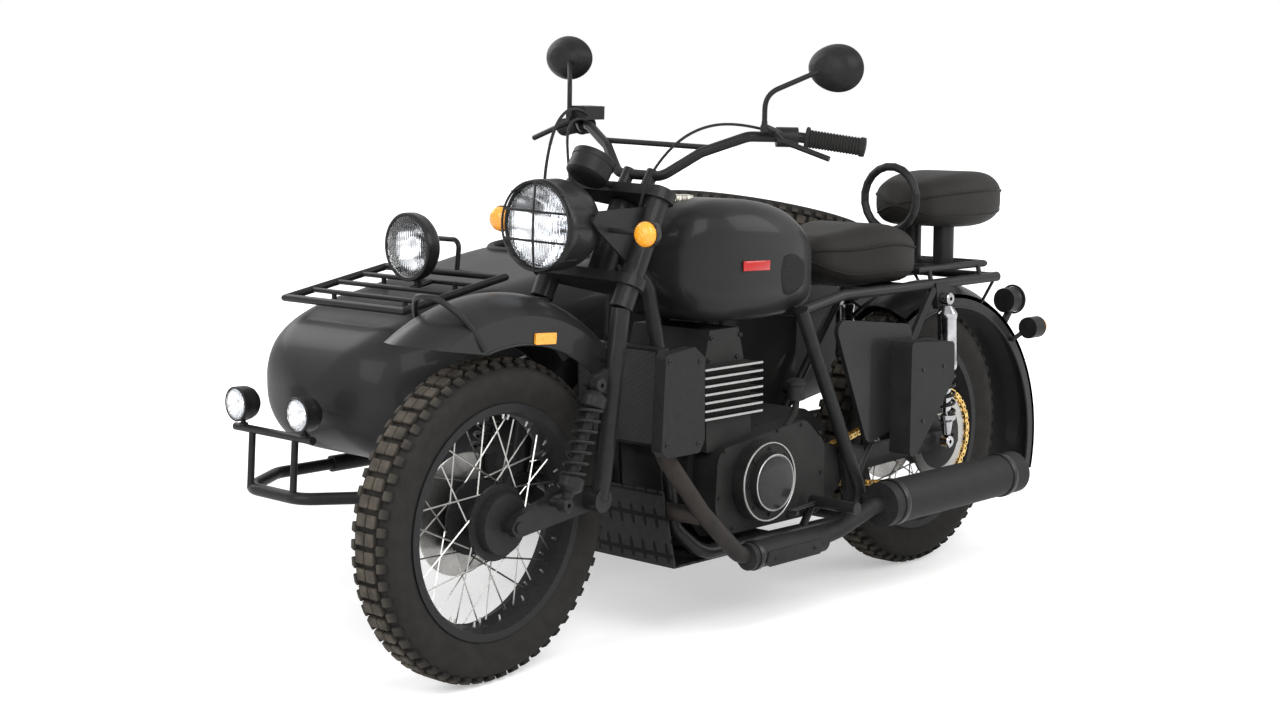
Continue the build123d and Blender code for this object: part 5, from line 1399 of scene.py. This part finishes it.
settle(
    join([heat_plate, *[screw(x, 24.85, -14.9, 1, 0.4, 0.3) for x in (68.5, 82.0)]]), "catalyst_heat_plate",
    heat_black, "chassis",
)


# Skid plate: folded steel sheet, drilled all over in rows and painted black.
drilled = Finish("skid_plate_drilled", roughness=0.45, metallic=0.3)
along_x, along_y, along_z = ((drilled.axis(name) * 180).sine() for name in "XYZ")
hole = ((along_x * along_y > 0.55) + (along_x * along_z > 0.55)).clamp()
drilled.set(Base_Color=drilled.blend(hole, drilled.blend(drilled.noise(60, 5), 0.012, 0.030), 0.001))
drilled.bump(hole * -1, 0.002)
coat(drilled, "skid_plate")


# Side panels and tool box: moulded panels with blank plaques, and a folded steel box with a hinged lid,
# a rolled edge and two thumb screws.
panel_black = painted("side_panel_black", 0.008, 0.018, 0.36, grain=14, coat_weight=0.12)
coat(panel_black, "side_panels", "foot_controls")
box_black = painted("tool_box_matte_black", 0.010, 0.022, 0.5, grain=22)
coat(box_black, "tool_box")
low, high = (Vector(corner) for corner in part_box("tool_box"))
latches = []
for share in (0.3, 0.75):
    for height in (0.25, 0.72):
        place = Vector((low.x + (high.x - low.x) * height, high.y - 0.0006, low.z + (high.z - low.z) * share))
        latches.append(lathe(place, leftward, ((0, 0), (0, 0.45), (0.3, 0.45), (0.4, 0.34), (0.4, 0)), 14))
settle(join(latches), "tool_box_screws", screw_black, "chassis")


# Trunk lid: pressed sheet in the body's black, with a rolled edge; the spare wheel is bolted on its top.
coat(tub_paint, "trunk_lid")


# Fork, links and handlebar: black steel and cast alloy, ribbed rubber grips, switch pods, cast levers and a
# fluid pot with a translucent window; the stems and backs of the mirrors are black.
coat(powder, "front_links", "handlebar")
control_black = painted("control_black", 0.008, 0.020, 0.4, skin=500)
coat(control_black, "hand_controls", "tail_lamp")
grip_rubber = mottled("grip_rubber", 0.010, (0.024, 0.023, 0.022), (90, 4), (0.75, 0), depth=0.0004)
ribs = 16
for hand, word in ((1, "left"), (-1, "right")):
    end, start = spot(75.9, hand * 42.0, 75.8), spot(82.0, hand * 31.1, 77.26)
    length = (end - start).length / grid
    pitch = (length - 2.2) / ribs
    profile = [(0.0, 1.0), (0.0, 2.3), (0.35, 2.5), (0.7, 2.3)]
    for rib in range(ribs):
        for share, radius in ((0, 1.74), (0.15, 1.92), (0.65, 1.92), (0.8, 1.74)):
            profile.append((1.0 + pitch * (rib + share), radius))
    for reach, radius in ((-1.0, 2.0), (-0.8, 2.1), (0.1, 2.0), (0.25, 1.2), (0.25, 0)):
        profile.append((length + reach, radius))
    grip = lathe(start, end - start, profile, 32)
    settle(grip, f"handlebar_grip_{word}", grip_rubber, "steering", steered=True, smooth=30)

cable_rubber = mottled("cable_rubber", 0.008, 0.020, (200, 3), (0.55, 0))
for name, thickness, route in (
    ("clutch_cable", 0.006, (
        (88.0, 26.0, 78.6), (95.0, 22.0, 80.6), (104.0, 17.0, 78.5), (109.0, 12.0, 71.0), (110.5, 9.0, 62.0),
        (108.5, 8.0, 54.0),
    )),
    ("throttle_cable", 0.006, (
        (87.0, -24.5, 77.8), (94.5, -21.5, 79.6), (103.5, -17.0, 77.5), (108.5, -12.0, 70.0),
        (110.0, -9.0, 61.5), (108.0, -8.0, 54.0),
    )),
    ("brake_hose", 0.007, (
        (89.0, -23.5, 79.6), (97.0, -20.5, 82.2), (107.0, -17.0, 79.0), (113.0, -14.5, 70.0),
        (115.0, -13.0, 60.0), (114.0, -12.5, 50.0), (114.8, -12.4, 42.0),
    )),
):
    bpy.ops.curve.primitive_nurbs_path_add()
    cable = bpy.context.object
    cable.data.splines.clear()
    line = cable.data.splines.new("NURBS")
    line.points.add(len(route) - 1)
    for knot, place in zip(line.points, route):
        knot.co = (*(turn_fork @ spot(*place)), 1)
    line.order_u = 3
    line.use_endpoint_u = True
    cable.location = (0, 0, 0)
    cable.data.bevel_depth = thickness / 2
    cable.data.bevel_resolution = 3
    cable.data.use_fill_caps = True
    cable.name = name
    cable.data.materials.append(cable_rubber.material)
    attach(cable, "steering")

mirror_glass = mottled(
    "mirror_glass", (0.78, 0.80, 0.82), (0.86, 0.87, 0.88), (6, 3), (0.02, 0.04), depth=0.00005, metallic=1.0,
)
mirror_place, mirror_half, mirror_rise, mirror_egg = (80.2, 36.9, 92.1), 6.8, 5.0, 0.06
glass_profile = ((0, -0.14), (0.5, -0.12), (0.9, -0.06), (0.94, -0.02), (0.94, 0.03), (0, 0.03))
shell_profile = (
    (0, 3.7), (0.25, 3.62), (0.5, 3.3), (0.72, 2.6), (0.88, 1.6), (0.97, 0.6), (1.0, 0.05), (1.0, -0.05),
    (0.95, -0.08), (0.94, 0.0), (0.0, 0.0),
)


def oval(profile, rows, columns, hand, egg):
    """One mirror's glass or shell: shares of its half width with places ahead, higher on its outer side."""
    def point(along, share):
        reach, depth = along_line(profile, along)
        turn = 2 * pi * share
        x, y, z = mirror_place
        rise = mirror_rise * reach * sin(turn) * (1 + egg * hand * cos(turn))
        return spot(x + depth, hand * y + mirror_half * reach * cos(turn), z + rise)

    return form(rows, columns, point)


glasses = [oval(glass_profile, 12, 48, hand, 0) for hand in (1, -1)]
settle(join(glasses), "mirror_glasses", mirror_glass, "steering", steered=True)
mirror_foot = ((0, 0), (0, 0.9), (1.2, 0.9), (1.4, 0.7), (2.2, 0.65), (2.3, 0))
shells = []
for hand in (1, -1):
    shells.append(oval(shell_profile, 40, 56, hand, mirror_egg))
    stem = smooth_path([(91.3, hand * 27.0, 78.6), (91.4, hand * 27.0, 86.3), (83.0, hand * 34.6, 91.4)], 3.0)
    shells.append(sweep(stem, 0.0055, 14))
    shells.append(lathe(spot(91.3, hand * 27.0, 78.6), upward, mirror_foot, 6))
settle(join(shells), "mirror_shells", control_black, "steering", "mirrors", steered=True, smooth=50)

dial_glass = mottled(
    "dial_face", (0.004, 0.004, 0.005), (0.010, 0.010, 0.012), (40, 3), (0.1, 0), depth=0.00005,
    coat_weight=1.0,
)
dial_tilt = radians(55)
dial_axis = Vector((-cos(dial_tilt), 0, sin(dial_tilt)))
dial_foot = spot(116.6, 0, 68.0)
case = lathe(
    dial_foot, dial_axis,
    (
        (-0.3, 0), (-0.3, 3.0), (0, 4.1), (0.5, 4.6), (3.6, 4.6), (3.8, 4.75), (5.0, 4.75), (5.2, 4.6),
        (5.2, 4.2), (5.0, 4.15), (5.0, 4.0), (3.0, 3.9), (3.0, 0),
    ), 64,
)
stay = sweep([spot(105.0, 0, 65.0), spot(110.0, 0, 66.8), spot(114.9, 0, 68.6)], 0.007, 14)
settle(join([case, stay]), "instrument_case", control_black, "steering", "instrument", steered=True)
face_profile = ((0, 0), (0, 4.05), (0.18, 4.05), (0.3, 3.2), (0.34, 0))
face = lathe(dial_foot + dial_axis * 0.046, dial_axis, face_profile, 56)
settle(face, "instrument_glass", dial_glass, "steering", steered=True)
dial_white = painted("dial_markings", (0.62, 0.62, 0.60), (0.74, 0.74, 0.72), 0.4)


def on_dial(height, turn, radius):
    """A place above the dial's foot, turned clockwise from its top."""
    turned = leftward * sin(radians(turn)) + dial_axis.cross(leftward) * cos(radians(turn))
    return dial_foot + dial_axis * height + turned * radius


ticks = []
for step in range(13):
    turn = -120 + 20 * step
    tick_end = 0.034 if step % 2 else 0.036
    ticks.append(rod(on_dial(0.0497, turn, 0.030), on_dial(0.0492, turn, tick_end), 0.0006, 6))
ticks.append(rod(on_dial(0.0503, 0, 0), on_dial(0.0499, -115, 0.028), 0.0008, 6))
settle(join(ticks), "dial_marks", dial_white, "steering", steered=True)


# Tail lamp and rear signals: black cans with a red lens behind and amber lenses on both sides, inside a
# round wire guard.
red_lens = Finish("tail_lens_red", roughness=0.12)
red_lens.shader.inputs["Transmission Weight"].default_value = 0.2
prisms = red_lens.node("TexVoronoi", {"feature": "F1"}, {"Vector": red_lens.place(), "Scale": 260})
red_lens.set(
    Base_Color=red_lens.blend(prisms * 3.0, (0.28, 0.004, 0.004), (0.55, 0.015, 0.010)), Coat_Weight=0.6,
)
red_lens.bump(prisms, 0.0014)
tail_z = 30.3
can_profile = (
    (0, 0), (0, 2.0), (0.8, 2.9), (1.8, 3.3), (3.6, 3.35), (3.9, 3.35), (3.9, 3.0), (3.6, 2.9), (3.6, 0),
)
can = lathe(spot(-43.6, 0, tail_z), behind, can_profile, 40)
guard = sweep(upright_ring(-47.2, tail_z, 3.7, 10), 0.003, 8, loop=True)
settle(join([can, guard]), "tail_lamp_case", lamp_black, "chassis")
lens_profile = ((0, 0), (0, 3.0), (0.5, 3.0), (0.95, 2.5), (1.15, 1.4), (1.2, 0))
settle(lathe(spot(-47.1, 0, tail_z), behind, lens_profile, 40), "tail_lamp_lens", red_lens, "chassis")
signal_profile = ((0, 0), (0, 2.3), (0.7, 2.55), (1.6, 2.5), (2.6, 2.0), (3.1, 1.2), (3.2, 0))
for hand, word in ((1, "left"), (-1, "right")):
    lens = lathe(spot(-38.0, hand * 13.0, 24.6), behind, signal_profile, 32)
    settle(lens, f"rear_signal_lens_{word}", amber, "chassis")
